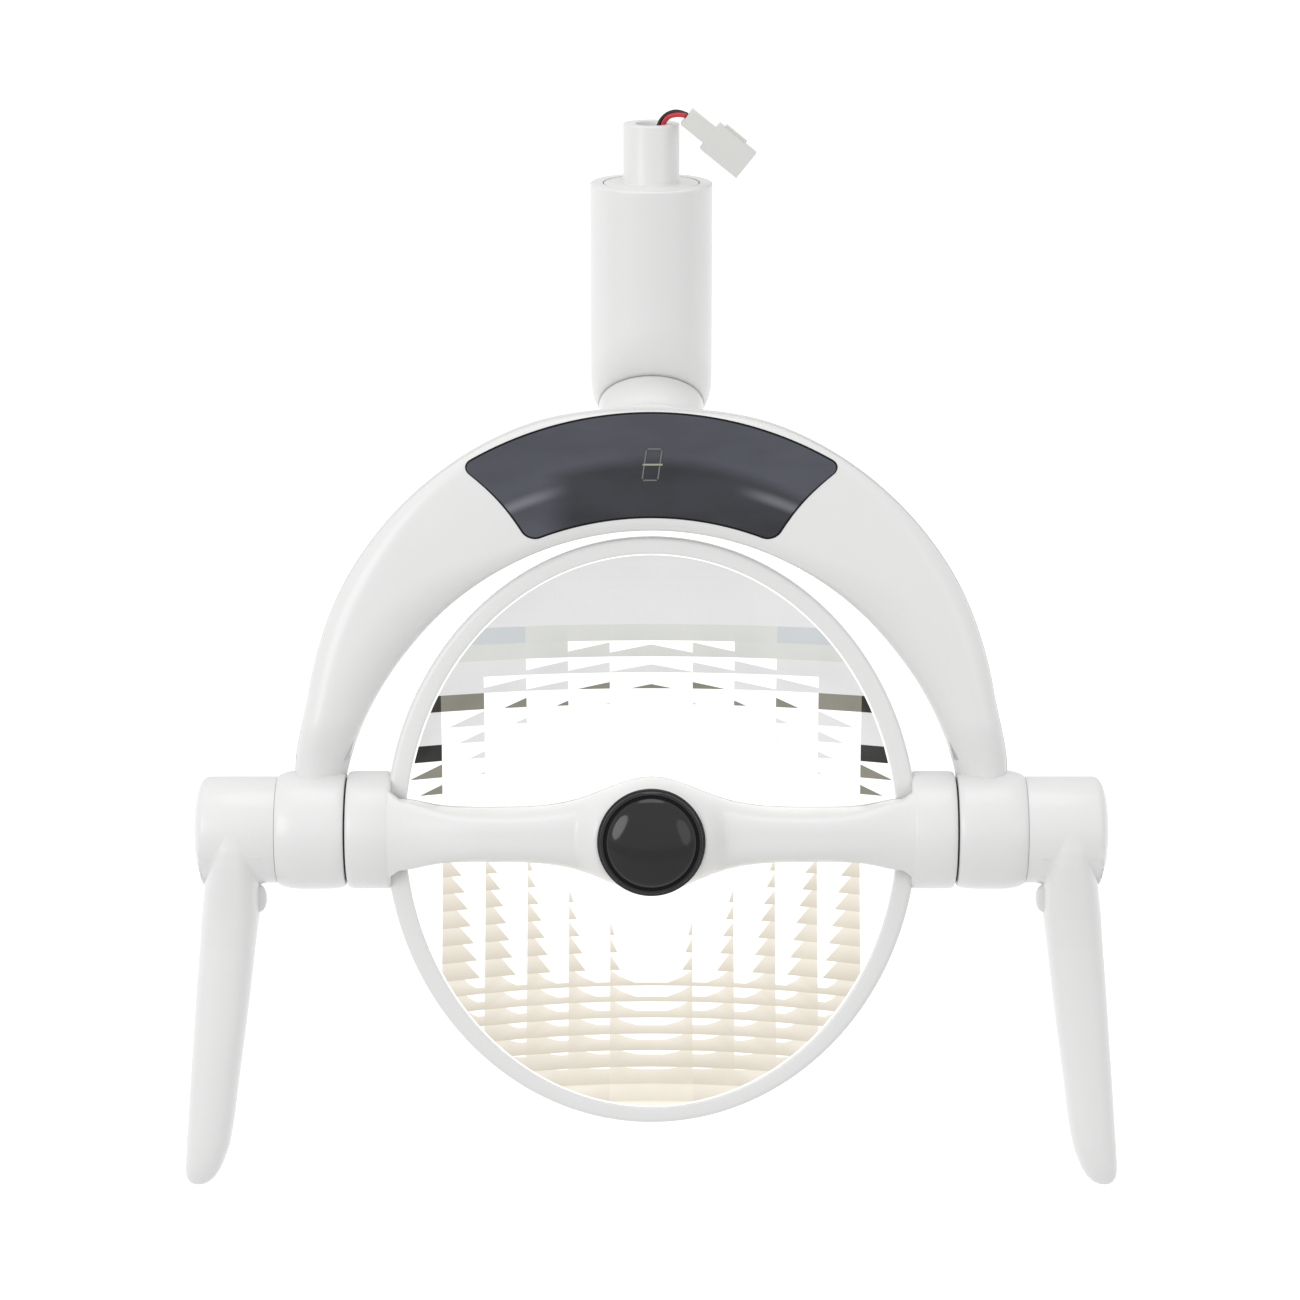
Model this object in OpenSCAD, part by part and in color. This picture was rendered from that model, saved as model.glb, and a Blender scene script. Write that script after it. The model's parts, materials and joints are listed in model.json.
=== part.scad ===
// Dental operating light: a reflector head in a semicircular yoke, hung from a 22 mm spigot.
// The origin is on the spigot's axis at the shoulder of the neck. +Z is up and -Y is the front.
// Three friction joints aim it: the neck turns on the spigot, the yoke turns on a diagonal joint
// under the neck, and the head tilts between the yoke's ears.

/* [Spigot and neck] */
// Outer diameter of the spigot that plugs into the arm
spigot_d = 22; // [20:0.5:25]
// Height of the spigot above the neck
spigot_len = 23; // [18:1:40]
// Bore through the spigot for the leads
bore_d = 12.5; // [11:0.5:14]
// Outer diameter of the neck tube
neck_d = 47.7; // [46:0.1:52]
// From the top of the neck down to the middle of the diagonal joint
neck_len = 88; // [84:1:100]

/* [Yoke] */
// Drop from the top of the neck to the head's tilt axis
axis_drop = 244; // [240:1:252]
// How far the tilt axis lies in front of the spigot's axis
axis_front = 63; // [60:1:68]
// Forward lean of the yoke, in degrees
lean = 10.5; // [9:0.5:12]
// Radius of the arch's outer edge
arch_outer_r = 135.5; // [134:0.5:138]
// Radius of the arch's inner edge
arch_inner_r = 118; // [117:0.5:119]
// Outer diameter of the ears, hubs and head barrels
ear_d = 46; // [44:1:50]

/* [Head] */
// Half width of the bezel ring
ring_half_w = 103.4; // [100:0.2:104]
// Half height of the bezel ring
ring_half_h = 114.3; // [110:0.1:114.6]
// Depth of the reflector's bowl
bowl_depth = 40; // [30:1:42]
// Depth of the rear housing behind the ring
housing_depth = 46; // [44:1:52]
// Radius of the black sensor cap
cap_r = 19.8; // [16:0.2:21]

/* [Handles] */
// Length of each grip below the tilt axis
grip_len = 141.4; // [110:0.2:150]
// Half depth of each grip, front to back
grip_half_depth = 8.5; // [7:0.5:10]

/* [Hidden] */
$fn = 64;

white = [0.93, 0.93, 0.92];
steel = [0.72, 0.73, 0.75];
alloy = [0.62, 0.63, 0.65];
dark = [0.12, 0.12, 0.13];
smoke = [0.20, 0.21, 0.25];
board_green = [0.10, 0.35, 0.20];
plastic_tan = [0.85, 0.80, 0.68];
mirror_tint = [0.88, 0.89, 0.91];

side_sign = [-1, 1];
big = 400;            // larger than any piece, for cutting
wall = 2.5;           // plastic wall thickness
gap = 0.3;            // clearance between pieces that move past each other
run = 0.05;           // radial clearance of a running shaft

spindle_r = 10;
spindle_end = -41;
flange_r = 18.5;
flange_t = 5;
core_r = 20;
bush_r = 13;
bush_low = -34;

joint_tilt = 45;      // the diagonal joint's axis, in degrees from vertical
collar_r = 21;        // round joint line between neck and yoke
draw_in = 3;          // how steeply the tube is drawn in to the joint line, radius per height
shaft_r = 8;

arch_outer_up = 31;   // centre of the outer edge above the tilt axis
arch_inner_up = -0.5; // centre of the inner edge above the tilt axis
crown_r = 244;        // the flatter crown at the top of the arch
crown_up = -80;
arch_front = 15;
arch_rear = 5;
arch_foot = 25;       // the arch is open below this, between its ears
sleeve_r = 20.2;      // sleeve between the arch and the diagonal joint
sleeve_foot = 141;    // height of the sleeve's foot on the back of the arch
joint_back = axis_front * cos(lean) - (axis_drop - neck_len) * sin(lean);
joint_up = axis_front * sin(lean) + (axis_drop - neck_len) * cos(lean);
sleeve_rise = atan2(joint_up - sleeve_foot, joint_back - arch_rear);

ear_r = ear_d / 2;
ear_in = 118.9;
ear_out = 145.5;
pocket = 1;           // depth of the friction washer's pocket in the ear
barrel_in = 101.3;
barrel_out = 118.2;
shaft_in = 103.5;     // inner end of the tilt shafts
tilt_r = 10;
hub_r = 20.8;
hub_in = ear_out + 0.4;
hub_out = 178;

lip = 6.3;            // width of the bezel's front lip
ring_front = 9;
bridge_front = 27;
bridge_rear = 13;
boss_r = 22.2;
boss_front = 34;
ellipse = ring_half_w / ring_half_h;

wire_r = 0.9;
connector_at = [13.6, -9, 26.9];
connector_dip = 39;   // slope of the connector, in degrees
red_route = [[1.4, -1.6, -22], [1.4, -1.6, 0], [2.8, -1.8, 14], [4.5, -1.9, 22.3], [6.3, -3.4, 25.5],
    [8.8, -6, 26.9], [11.2, -8.2, 27.3], [13.3, -9.9, 27.2]];
black_route = [[-1.4, -1.6, -22], [-1.4, -1.6, 0], [0.2, -0.5, 14], [3, 0.2, 22.4],
    [5.2, -1.1, 25.9], [8.2, -3.6, 27.8], [11, -5.9, 28.1], [13.6, -7.6, 27.4]];

// ---- frames ----

// The diagonal joint's frame: origin on the joint line, +Z up and back along its axis.
module at_joint() translate([0, 0, -neck_len]) rotate([-joint_tilt, 0, 0]) children();

// The yoke's and head's frame: origin on the tilt axis, +Z up the leaning yoke.
module at_yoke() translate([0, -axis_front, -axis_drop]) rotate([-lean, 0, 0]) children();

// A flat outline in the yoke's X-Z plane, thickened from y0 to y1.
module slab(y0, y1) translate([0, y1, 0]) rotate([90, 0, 0]) linear_extrude(height = y1 - y0) children();

// A cylinder along X from x0 to x1.
module bar_x(r, x0, x1) translate([x0, 0, 0]) rotate([0, 90, 0]) cylinder(r = r, h = x1 - x0);

// A cylinder along Y from y0 to y1.
module bar_y(r, y0, y1) translate([0, y0, 0]) rotate([-90, 0, 0]) cylinder(r = r, h = y1 - y0);

// The half space in front of (y < 0) or behind the split plane.
module front_half() intersection() {
    children();
    translate([-big, -big, -big]) cube([2 * big, big, 2 * big]);
}
module rear_half() intersection() {
    children();
    translate([-big, 0, -big]) cube([2 * big, big, 2 * big]);
}

// Left or right piece: side is -1 or 1, and the children are drawn for the right.
module on_side(side) mirror([side < 0 ? 1 : 0, 0, 0]) children();

// ---- swept wires and coil springs ----

function unit(v) = v / norm(v);
// A smooth curve through hand-chosen points, as a Catmull-Rom spline.
function spline(p, i, t) =
    let (a = p[max(i - 1, 0)], b = p[i], c = p[i + 1], d = p[min(i + 2, len(p) - 1)])
    0.5 * (2 * b + (c - a) * t + (2 * a - 5 * b + 4 * c - d) * t * t
        + (3 * b - a - 3 * c + d) * t * t * t);
function smooth_route(p, steps) = concat(
    [for (i = [0:len(p) - 2]) for (s = [0:steps - 1]) spline(p, i, s / steps)], [p[len(p) - 1]]);
function tangent(p, i) = unit(p[min(i + 1, len(p) - 1)] - p[max(i - 1, 0)]);
function ring_at(c, t, r, sides, side_ref) =
    let (n = unit(cross(t, side_ref)), b = cross(t, n))
    [for (k = [0:sides - 1]) c + r * (cos(360 * k / sides) * n + sin(360 * k / sides) * b)];
module swept(path, r, sides, side_ref) {
    rings = len(path);
    points = [for (i = [0:rings - 1]) each ring_at(path[i], tangent(path, i), r, sides, side_ref)];
    walls = [for (i = [0:rings - 2]) for (k = [0:sides - 1])
        let (a = i * sides + k, b = i * sides + (k + 1) % sides)
        each [[a, b, b + sides], [a, b + sides, a + sides]]];
    start = [for (k = [0:sides - 1]) sides - 1 - k];
    end = [for (k = [0:sides - 1]) (rings - 1) * sides + k];
    polyhedron(points, concat([start], walls, [end]));
}
function coil(r, h, turns, per_turn) =
    [for (i = [0:turns * per_turn])
        [r * cos(360 * i / per_turn), r * sin(360 * i / per_turn), h * i / (turns * per_turn)]];

// ---- the spigot and what is fixed to it ----

module mounting_spigot() color(white) difference() {
    union() {
        cylinder(d = spigot_d, h = spigot_len);
        translate([0, 0, -flange_t]) cylinder(r = flange_r, h = flange_t);
        translate([0, 0, spindle_end]) cylinder(r = spindle_r, h = -flange_t - spindle_end);
    }
    translate([0, 0, spindle_end - 1]) cylinder(d = bore_d, h = spigot_len - spindle_end + 2);
}

module wave_washer() color(steel) translate([0, 0, bush_low - gap - 1.4]) difference() {
    cylinder(r = 14.5, h = 1.4);
    translate([0, 0, -1]) cylinder(r = spindle_r, h = 4);
}

module retaining_nut() color(steel) translate([0, 0, spindle_end]) difference() {
    cylinder(r = 15.5, h = 5, $fn = 6);
    translate([0, 0, -1]) cylinder(r = spindle_r, h = 7);
}

module cable_bush() color(dark) translate([0, 0, -30]) cylinder(d = bore_d, h = 8);

module contact_spring() color([0.75, 0.45, 0.28]) translate([0.5, 3.1, -21.5])
    swept(coil(2, 39.5, 12, 12), 0.35, 6, [0, 0, 1]);

module wire_red() color([0.65, 0.05, 0.08])
    swept(smooth_route(red_route, 3), wire_r, 8, [0.31, 0.95, 0.05]);

module wire_black() color(dark)
    swept(smooth_route(black_route, 3), wire_r, 8, [0.31, 0.95, 0.05]);

module at_connector() translate(connector_at) rotate([0, connector_dip, 0]) children();

module lead_connector() color(white) at_connector() difference() {
    union() {
        translate([0, -3.2, -3.7]) cube([12, 6.4, 7.4]);
        translate([11.6, -3.4, -6.2]) cube([18, 6.8, 12.4]);
        translate([14, -1.5, 6]) cube([10, 3, 1.4]);
    }
    for (row = side_sign) translate([20, -1.6, row * 2.9 - 1.6]) cube([12, 3.2, 3.2]);
}

module connector_pins() color(steel) at_connector()
    for (row = side_sign) translate([20, -0.4, row * 2.9 - 0.8]) cube([8, 0.8, 1.6]);

// ---- the neck ----

// Everything on the neck's side of the joint plane, moved up by clearance.
module above_joint(clearance) intersection() {
    children();
    at_joint() translate([-big, -big, clearance]) cube(2 * big);
}

// The tube, drawn in to the round joint line. skin is how far inside the surface it lies.
module neck_form(skin) intersection() {
    translate([0, 0, -neck_len - 40]) cylinder(d = neck_d - 2 * skin, h = neck_len + 40 - skin);
    at_joint() translate([0, 0, gap + skin])
        cylinder(r1 = collar_r, r2 = collar_r + draw_in * neck_len, h = neck_len);
}

module neck_shells() difference() {
    neck_form(0);
    neck_form(wall);
    at_joint() translate([0, 0, -1]) cylinder(r = collar_r - wall, h = wall + 3);
    translate([0, 0, -wall - 1]) cylinder(r = flange_r + 0.4, h = wall + 2);
}

module neck_front_shell() color(white) front_half() neck_shells();

module neck_rear_shell() color(white) difference() {
    rear_half() neck_shells();
    for (z = [-22, -62]) translate([0, 0, z]) bar_y(1.9, core_r, neck_d / 2 + 1);
}

module neck_screws() color(steel) for (z = [-22, -62]) translate([0, 0, z]) {
    bar_y(1.5, core_r - 4, neck_d / 2 - 1.6);
    bar_y(1.8, neck_d / 2 - 1.6, neck_d / 2 - 0.3);
}

module neck_core() color(alloy) difference() {
    union() {
        above_joint(9) translate([0, 0, -neck_len - 40]) cylinder(r = core_r, h = neck_len + 32);
        intersection() {
            at_joint() translate([0, 0, 1]) cylinder(r = 17.5, h = 13);
            translate([0, 0, -neck_len - 40]) cylinder(r = core_r, h = neck_len + 32);
        }
    }
    translate([0, 0, bush_low - 1]) cylinder(r = bush_r, h = 40);
    translate([0, 0, -55]) cylinder(r = 16.5, h = 55 + bush_low);
    at_joint() translate([0, 0, -1]) cylinder(r = 10.5, h = 20);
    at_joint() translate([0, 0, 12]) cylinder(r = 15.5, h = 24);
    for (z = [-22, -62]) translate([0, 0, z]) bar_y(1.5, core_r - 5, core_r + 2);
}

module swivel_bush() color(plastic_tan) difference() {
    union() {
        translate([0, 0, bush_low]) cylinder(r = bush_r, h = -bush_low - 8);
        translate([0, 0, -8]) cylinder(r = 17, h = 8 - flange_t - gap);
    }
    translate([0, 0, bush_low - 1]) cylinder(r = spindle_r + run, h = 40);
}

module diagonal_bush() color(plastic_tan) at_joint() difference() {
    union() {
        translate([0, 0, 1]) cylinder(r = 10.5, h = 11);
        translate([0, 0, gap]) cylinder(r = 15, h = 1 - gap);
    }
    translate([0, 0, -1]) cylinder(r = shaft_r + run, h = 20);
}

// ---- the yoke ----

module diagonal_shaft() color(steel) at_joint() difference() {
    union() {
        translate([0, 0, -10]) cylinder(r = shaft_r, h = 29);
        translate([0, 0, -5]) cylinder(r = 15, h = 5 - gap);
    }
    translate([0, 0, -11]) cylinder(r = 5, h = 33);
}

module diagonal_spring_washer() color(steel) at_joint() translate([0, 0, 12 + gap]) difference() {
    cylinder(r = 12, h = 1.5);
    translate([0, 0, -1]) cylinder(r = shaft_r, h = 4);
}

module diagonal_nut() color(steel) at_joint() translate([0, 0, 13.8 + gap]) difference() {
    cylinder(r = 11.5, h = 4, $fn = 6);
    translate([0, 0, -1]) cylinder(r = shaft_r, h = 8);
}

// How far out the arch's feet start, flush with the ears' inner faces.
function foot_in(skin) = ear_in + max(skin, 0);
// Flat outline of the arch. skin is how far inside the outer and inner edges it lies.
module arch_outline(skin) difference() {
    intersection() {
        translate([0, arch_outer_up]) circle(r = arch_outer_r - skin);
        translate([0, crown_up]) circle(r = crown_r - skin);
        translate([-big, 0]) square([2 * big, big]);
    }
    translate([0, arch_inner_up]) circle(r = arch_inner_r + skin);
    translate([-foot_in(skin), -1]) square([2 * foot_in(skin), arch_foot + skin + 1]);
}

// Outline of the smoked window in the arch.
module window_outline(skin) difference() {
    intersection() {
        translate([0, 21.8]) circle(r = 141 - skin);
        polygon([[-46.5 + skin, 113], [-72.5 + skin, 141.5], [-72.5 + skin, 170],
            [72.5 - skin, 170], [72.5 - skin, 141.5], [46.5 - skin, 113]]);
    }
    translate([0, 1.1]) circle(r = 122 + skin);
}

// Both ears' barrels, as solid bars shrunk by skin.
module ear_bars(skin, outer_r) for (side = side_sign) on_side(side)
    bar_x(outer_r - skin, ear_in + skin, ear_out - skin);

module shaft_holes(r) bar_x(r, -big, big);

// Recesses in the ears' inner faces for the friction washers.
module washer_pockets() for (side = side_sign) on_side(side) bar_x(20.3, ear_in - 1, ear_in + pocket);

module yoke_front_cover() color(white) at_yoke() difference() {
    union() {
        slab(-arch_front + 2, 0) arch_outline(0);
        slab(-arch_front, -arch_front + 2) arch_outline(0.9);
        front_half() ear_bars(0, ear_r);
    }
    slab(-arch_front + wall, 1) arch_outline(wall);
    slab(-arch_front - 1, 0) window_outline(0);
    ear_bars(wall, ear_r);
    washer_pockets();
    shaft_holes(14);
}

// The sleeve that rises from the back of the arch to the diagonal joint, as a solid bar of
// radius r: short of the joint line by joint_gap, behind from_y, and edge above the arch's
// inner edge.
module sleeve_form(r, joint_gap, from_y, edge) difference() {
    at_yoke() translate([0, arch_rear, sleeve_foot]) rotate([sleeve_rise - 90, 0, 0])
        translate([0, 0, -20]) cylinder(r = r, h = 90);
    at_joint() translate([-big, -big, -joint_gap]) cube(2 * big);
    at_yoke() translate([0, 0, arch_inner_up]) bar_y(arch_inner_r + edge, -20, 60);
    at_yoke() translate([-big, from_y - 2 * big, -big]) cube(2 * big);
}

module yoke_rear_cover() color(white) difference() {
    union() {
        at_yoke() slab(0, arch_rear) arch_outline(-0.8);
        at_yoke() rear_half() ear_bars(0, ear_r);
        sleeve_form(sleeve_r, gap, 0, 0);
    }
    sleeve_form(sleeve_r - wall, -1, -1, wall);
    at_yoke() slab(-1, arch_rear - wall) arch_outline(wall);
    at_yoke() ear_bars(wall, ear_r);
    at_yoke() washer_pockets();
    at_yoke() shaft_holes(14);
    at_yoke() screw_places() bar_y(1.7, 0, arch_rear + 1);
}

// The four screws that close the arch from behind.
module screw_places() for (side = side_sign) for (a = [24, 58])
    translate([side * 125 * cos(a), 0, 14 + 125 * sin(a)]) children();

module yoke_screws() color(steel) at_yoke() screw_places() {
    bar_y(1.5, -3.5, arch_rear);
    bar_y(2.8, arch_rear, arch_rear + 1.4);
}

module yoke_frame() color(alloy) difference() {
    union() {
        at_yoke() slab(-5, -1) arch_outline(3);
        at_yoke() for (side = side_sign) on_side(side) bar_x(17, ear_in + 3, ear_out - 3);
        sleeve_form(14, 5, -5, 3);
    }
    at_joint() translate([0, 0, -11]) cylinder(r = shaft_r, h = 12);
    at_yoke() shaft_holes(bush_r);
    at_yoke() screw_places() bar_y(1.5, -6, 0);
}

module control_window() color(smoke) at_yoke() slab(-arch_front - 0.5, -arch_front + 2) window_outline(0.25);

module display_board() color(board_green) at_yoke() slab(-10, -8.4) difference() {
    window_outline(4);
    translate([0, sleeve_foot]) circle(r = 1.6);
}

module digit_display() color(dark) at_yoke() translate([-6, -12.8, 135.2]) cube([12, 2.8, 16]);

module ear_bush(side) color(plastic_tan) at_yoke() on_side(side) difference() {
    bar_x(bush_r, ear_in + pocket, ear_out - 1);
    bar_x(tilt_r + run, ear_in, ear_out);
}
module left_ear_bush() ear_bush(-1);
module right_ear_bush() ear_bush(1);

module friction_washer(side) color(dark) at_yoke() on_side(side) difference() {
    bar_x(20, barrel_out + gap, ear_in + pocket);
    bar_x(tilt_r + 0.4, barrel_out, ear_in + pocket + 1);
}
module left_friction_washer() friction_washer(-1);
module right_friction_washer() friction_washer(1);

// ---- the head ----

// An elliptical disc from y0 to y1 whose edge lies skin inside the bezel's outer edge.
module oval(skin, y0, y1) slab(y0, y1) scale([(ring_half_w - skin) / (ring_half_h - skin), 1])
    circle(r = ring_half_h - skin, $fn = 120);

// Both head barrels, as solid bars.
module head_bars(skin, outer_r) for (side = side_sign) on_side(side)
    bar_x(outer_r - skin, barrel_in + skin, barrel_out - skin);

module bezel_ring() color(white) at_yoke() difference() {
    oval(0, -ring_front, 1);
    oval(lip, -ring_front - 1, 2);
    oval(2.2, -ring_front + 2.5, 2);
    head_bars(-gap, ear_r);
}

lug_angles = [40, 140, 220, 320];
lug_r = 105.6;
module lugs() for (a = lug_angles) translate([lug_r * ellipse * cos(a), 0, lug_r * sin(a)])
    children();

module head_frame() color(alloy) at_yoke() difference() {
    union() {
        difference() {
            oval(3.5, -ring_front + 2.8, 3);
            oval(4.9, -ring_front, 4);
        }
        for (side = side_sign) on_side(side) bar_x(6, ring_half_w - 5, barrel_in + 2);
        for (side = side_sign) on_side(side) difference() {
            bar_x(15, barrel_in, barrel_out - wall - 0.5);
            bar_x(tilt_r, shaft_in, barrel_out);
        }
        lugs() bar_y(4.6, 2, 5.5);
    }
    lugs() bar_y(1.5, 1, 6);
}

module tilt_shaft(side) color(steel) at_yoke() on_side(side) difference() {
    bar_x(tilt_r, shaft_in, hub_out - 12);
    bar_x(6.5, shaft_in - 1, hub_out);
}
module left_tilt_shaft() tilt_shaft(-1);
module right_tilt_shaft() tilt_shaft(1);

// Half section of the housing's dome, from the ring's plane to its back.
function dome(r, depth) = [for (a = [0:6:90]) [r * cos(a), depth * sin(a)]];
module dome_solid(r, depth) rotate([-90, 0, 0]) scale([ellipse, 1, 1])
    rotate_extrude($fn = 160) polygon(concat([[0, 0]], dome(r, depth)));

module rear_housing() color(white) at_yoke() difference() {
    union() {
        translate([0, 1, 0]) dome_solid(ring_half_h - 0.6, housing_depth);
        rear_half() head_bars(0, ear_r + 0.5);
    }
    difference() {
        dome_solid(ring_half_h - 0.6 - wall, housing_depth - wall + 1);
        lugs() bar_y(5, 5.8, 30);
    }
    rear_half() head_bars(wall, ear_r + 0.5);
    translate([0, -1, 0]) rear_half() intersection() {
        oval(4.5, 0, 4);
        shaft_holes(ear_r - wall);
    }
    shaft_holes(15.2);
    lugs() bar_y(1.8, 0, 30);
    lugs() bar_y(3.6, 12.5, 30);
}

module housing_screws() color(steel) at_yoke() lugs() {
    bar_y(1.5, 2.2, 12.5);
    bar_y(3.3, 12.5, 15);
}

// Half section of the bowl's inside, from its middle to its rim, closed along the rim's plane.
bowl_skin = 5.1;      // from the bezel's outer edge in to the bowl's rim
bowl_r = ring_half_h - bowl_skin;
bowl_rim = 6.2;
function bowl(steps) = [for (i = [0:steps])
    [bowl_r * i / steps, bowl_depth * (1 - pow(i / steps, 2))]];
module bowl_solid() rotate([-90, 0, 0]) scale([(ring_half_w - bowl_skin) / bowl_r, 1, 1])
    rotate_extrude($fn = 160) polygon(concat([[0, 0]], bowl(16)));

module reflector() color(mirror_tint) at_yoke() translate([0, -bowl_rim, 0]) difference() {
    translate([0, 1.8, 0]) bowl_solid();
    bowl_solid();
}
function reversed(list) = [for (i = [len(list) - 1:-1:0]) list[i]];

// Half height of the bridge at a distance from its middle: waisted, and wider at both ends.
function bridge_half(x) = 10.4 + 11.9 * exp(-pow(x / 25, 2)) + 3.4 * exp(-pow((x - 98) / 13, 2));
module bridge_outline(reach, skin) {
    upper = [for (x = [-reach:4:reach]) [x, bridge_half(abs(x)) - skin]];
    polygon(concat(upper, reversed([for (p = upper) [p[0], -p[1]]])));
}

module bridge_cover() color(white) at_yoke() difference() {
    union() {
        slab(-bridge_front, -bridge_rear) bridge_outline(104, 0);
        bar_y(boss_r, -boss_front, -bridge_rear);
        front_half() head_bars(0, ear_r + 0.25);
    }
    slab(-bridge_front + wall, -bridge_rear + 1) bridge_outline(100, wall);
    bar_y(boss_r - wall, -boss_front - 1, -bridge_rear + 1);
    head_bars(wall, ear_r + 0.25);
    translate([-ring_half_w - 0.3, -ring_front - 0.3, -ear_r - 1])
        cube([2 * ring_half_w + 0.6, 20, ear_d + 2]);
    shaft_holes(15.2);
}

module bridge_heat_plate() color(alloy) at_yoke() difference() {
    union() {
        slab(-bridge_rear, -ring_front - 1) bridge_outline(96, 0);
        slab(-18, -bridge_rear) bridge_outline(60, wall + 0.4);
    }
    for (side = side_sign) translate([side * 44, 0, 0]) bar_y(2.2, -20, 0);
}

module led_board() color(white) at_yoke() slab(-ring_front - 1, -ring_front + 0.6)
    square([76, 17], center = true);

module led_emitters() color([1, 0.97, 0.85]) at_yoke() for (x = [-30:12:30])
    translate([x, -ring_front + 0.6, 0]) intersection() {
        sphere(r = 4);
        bar_y(5, 0, 5);
    }

module sensor_board() color(board_green) at_yoke() bar_y(17, -24, -22.4);

module cap_trim_ring() color(dark) at_yoke() difference() {
    bar_y(cap_r + 0.9, -boss_front - 1.2, -boss_front);
    bar_y(cap_r - 3, -boss_front - 2, -boss_front + 1);
}

// The glossy dome, with a shallow ring step near its rim.
module sensor_cap() color(dark) at_yoke() translate([0, -boss_front - 1.2, 0]) rotate([90, 0, 0])
    rotate_extrude($fn = 96) polygon(concat([[0, 0], [cap_r, 0], [cap_r, 1.6], [cap_r - 1.6, 2.6]],
        [for (a = [10:10:90]) [(cap_r - 2.2) * cos(a), 2 + 4.2 * sin(a)]]));

module driver_board() color(board_green) at_yoke() translate([-30, 37.4, -20]) cube([60, 1.6, 40]);

// ---- the handles ----

module hub(side) color(white) at_yoke() on_side(side) difference() {
    union() {
        bar_x(hub_r, hub_in, hub_out - 2.5);
        bar_x(hub_r - 1.6, hub_out - 2.5, hub_out - 1.5);
    }
    bar_x(tilt_r, hub_in - 1, hub_out - 12);
    bar_x(3.1, hub_out - 13, hub_out);
    bar_x(hub_r - 5, hub_out - 6, hub_out);
    grip_axis() translate([0, 0, -40]) cylinder(r = 4, h = 28);
}
module left_hub() hub(-1);
module right_hub() hub(1);

module hub_cap(side) color(white) at_yoke() on_side(side) bar_x(hub_r - 5, hub_out - 3, hub_out);
module left_hub_cap() hub_cap(-1);
module right_hub_cap() hub_cap(1);

module hub_bolts() color(steel) at_yoke() for (side = side_sign) on_side(side) {
    bar_x(3.1, hub_out - 30, hub_out - 6);
    bar_x(6, hub_out - 6, hub_out - 3.2);
}

// The grip's own frame: origin at the tilt axis, +Z up along the grip, leaning outwards.
grip_root_x = 160.8;
grip_splay = 5.9;
module grip_axis() translate([grip_root_x, -3, 0]) rotate([0, -grip_splay, 0]) children();

module grip_stem(side) color(steel) at_yoke() on_side(side) grip_axis()
    translate([0, 0, -60]) cylinder(r = 4, h = 48);
module left_grip_stem() grip_stem(-1);
module right_grip_stem() grip_stem(1);

// An oval cross-section of the grip at a height.
module grip_slice(up, half_w, half_d) translate([0, 0, up]) scale([half_w / half_d, 1, 1])
    cylinder(r = half_d, h = 0.5, $fn = 32);

tip_r = 7.6;          // round end of the grip
module grip_form() {
    hull() {
        grip_slice(-4, 12.6, 15);
        grip_slice(-32, 11.4, grip_half_depth + 1);
    }
    hull() {
        grip_slice(-32, 11.4, grip_half_depth + 1);
        grip_slice(-70, 10.4, grip_half_depth);
    }
    hull() {
        grip_slice(-70, 10.4, grip_half_depth);
        grip_slice(-grip_len + 24, 9, grip_half_depth - 0.5);
    }
    hull() {
        grip_slice(-grip_len + 24, 9, grip_half_depth - 0.5);
        translate([1.3, 0, tip_r - grip_len]) sphere(r = tip_r, $fn = 32);
    }
}

button_up = -26.5;
button_in = 150;
button_half = 3;      // half the distance between the button's round ends
button_travel = 1.5;

// The button's rounded outline, grown by extra, from x0 to x1.
module button_form(extra, x0, x1) translate([0, -3, button_up]) hull()
    for (end = side_sign) translate([0, 0, end * button_half]) bar_x(2.4 + extra, x0, x1);

module grip(side) color(white) at_yoke() on_side(side) difference() {
    grip_axis() grip_form();
    bar_x(hub_r, hub_in - 4, hub_out + 2);
    translate([hub_in - 10, -30, -40]) cube([10, 60, 60]);
    grip_axis() translate([0, 0, -60]) cylinder(r = 4, h = 50);
    button_form(gap, hub_in - 4, 158.4);
}
module left_grip() grip(-1);
module right_grip() grip(1);

module release_button(side) color(white) at_yoke() on_side(side)
    button_form(0, button_in, 154.6);
module left_release_button() release_button(-1);
module right_release_button() release_button(1);

module button_spring(side) color(steel) at_yoke() on_side(side)
    translate([154.9, -3, button_up]) rotate([0, 90, 0]) swept(coil(1.5, 3.2, 3, 12), 0.25, 6, [0, 0, 1]);
module left_button_spring() button_spring(-1);
module right_button_spring() button_spring(1);

mounting_spigot();
wave_washer();
retaining_nut();
cable_bush();
contact_spring();
wire_red();
wire_black();
lead_connector();
connector_pins();
neck_core();
swivel_bush();
diagonal_bush();
neck_front_shell();
neck_rear_shell();
neck_screws();
diagonal_shaft();
diagonal_spring_washer();
diagonal_nut();
yoke_frame();
yoke_front_cover();
yoke_rear_cover();
yoke_screws();
control_window();
display_board();
digit_display();
left_ear_bush();
right_ear_bush();
left_friction_washer();
right_friction_washer();
head_frame();
left_tilt_shaft();
right_tilt_shaft();
rear_housing();
housing_screws();
reflector();
bezel_ring();
bridge_cover();
bridge_heat_plate();
led_board();
led_emitters();
sensor_board();
cap_trim_ring();
sensor_cap();
driver_board();
left_hub();
right_hub();
left_hub_cap();
right_hub_cap();
hub_bolts();
left_grip_stem();
right_grip_stem();
left_grip();
right_grip();
left_release_button();
right_release_button();
left_button_spring();
right_button_spring();
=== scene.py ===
# A dental operating light: a faceted reflector head hung in an arched yoke from a plug-in spigot.
# Lengths in the builders below are in millimetres and MM turns them into metres.
import json
import math

import bpy
import bmesh
from mathutils import Matrix, Vector


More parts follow.
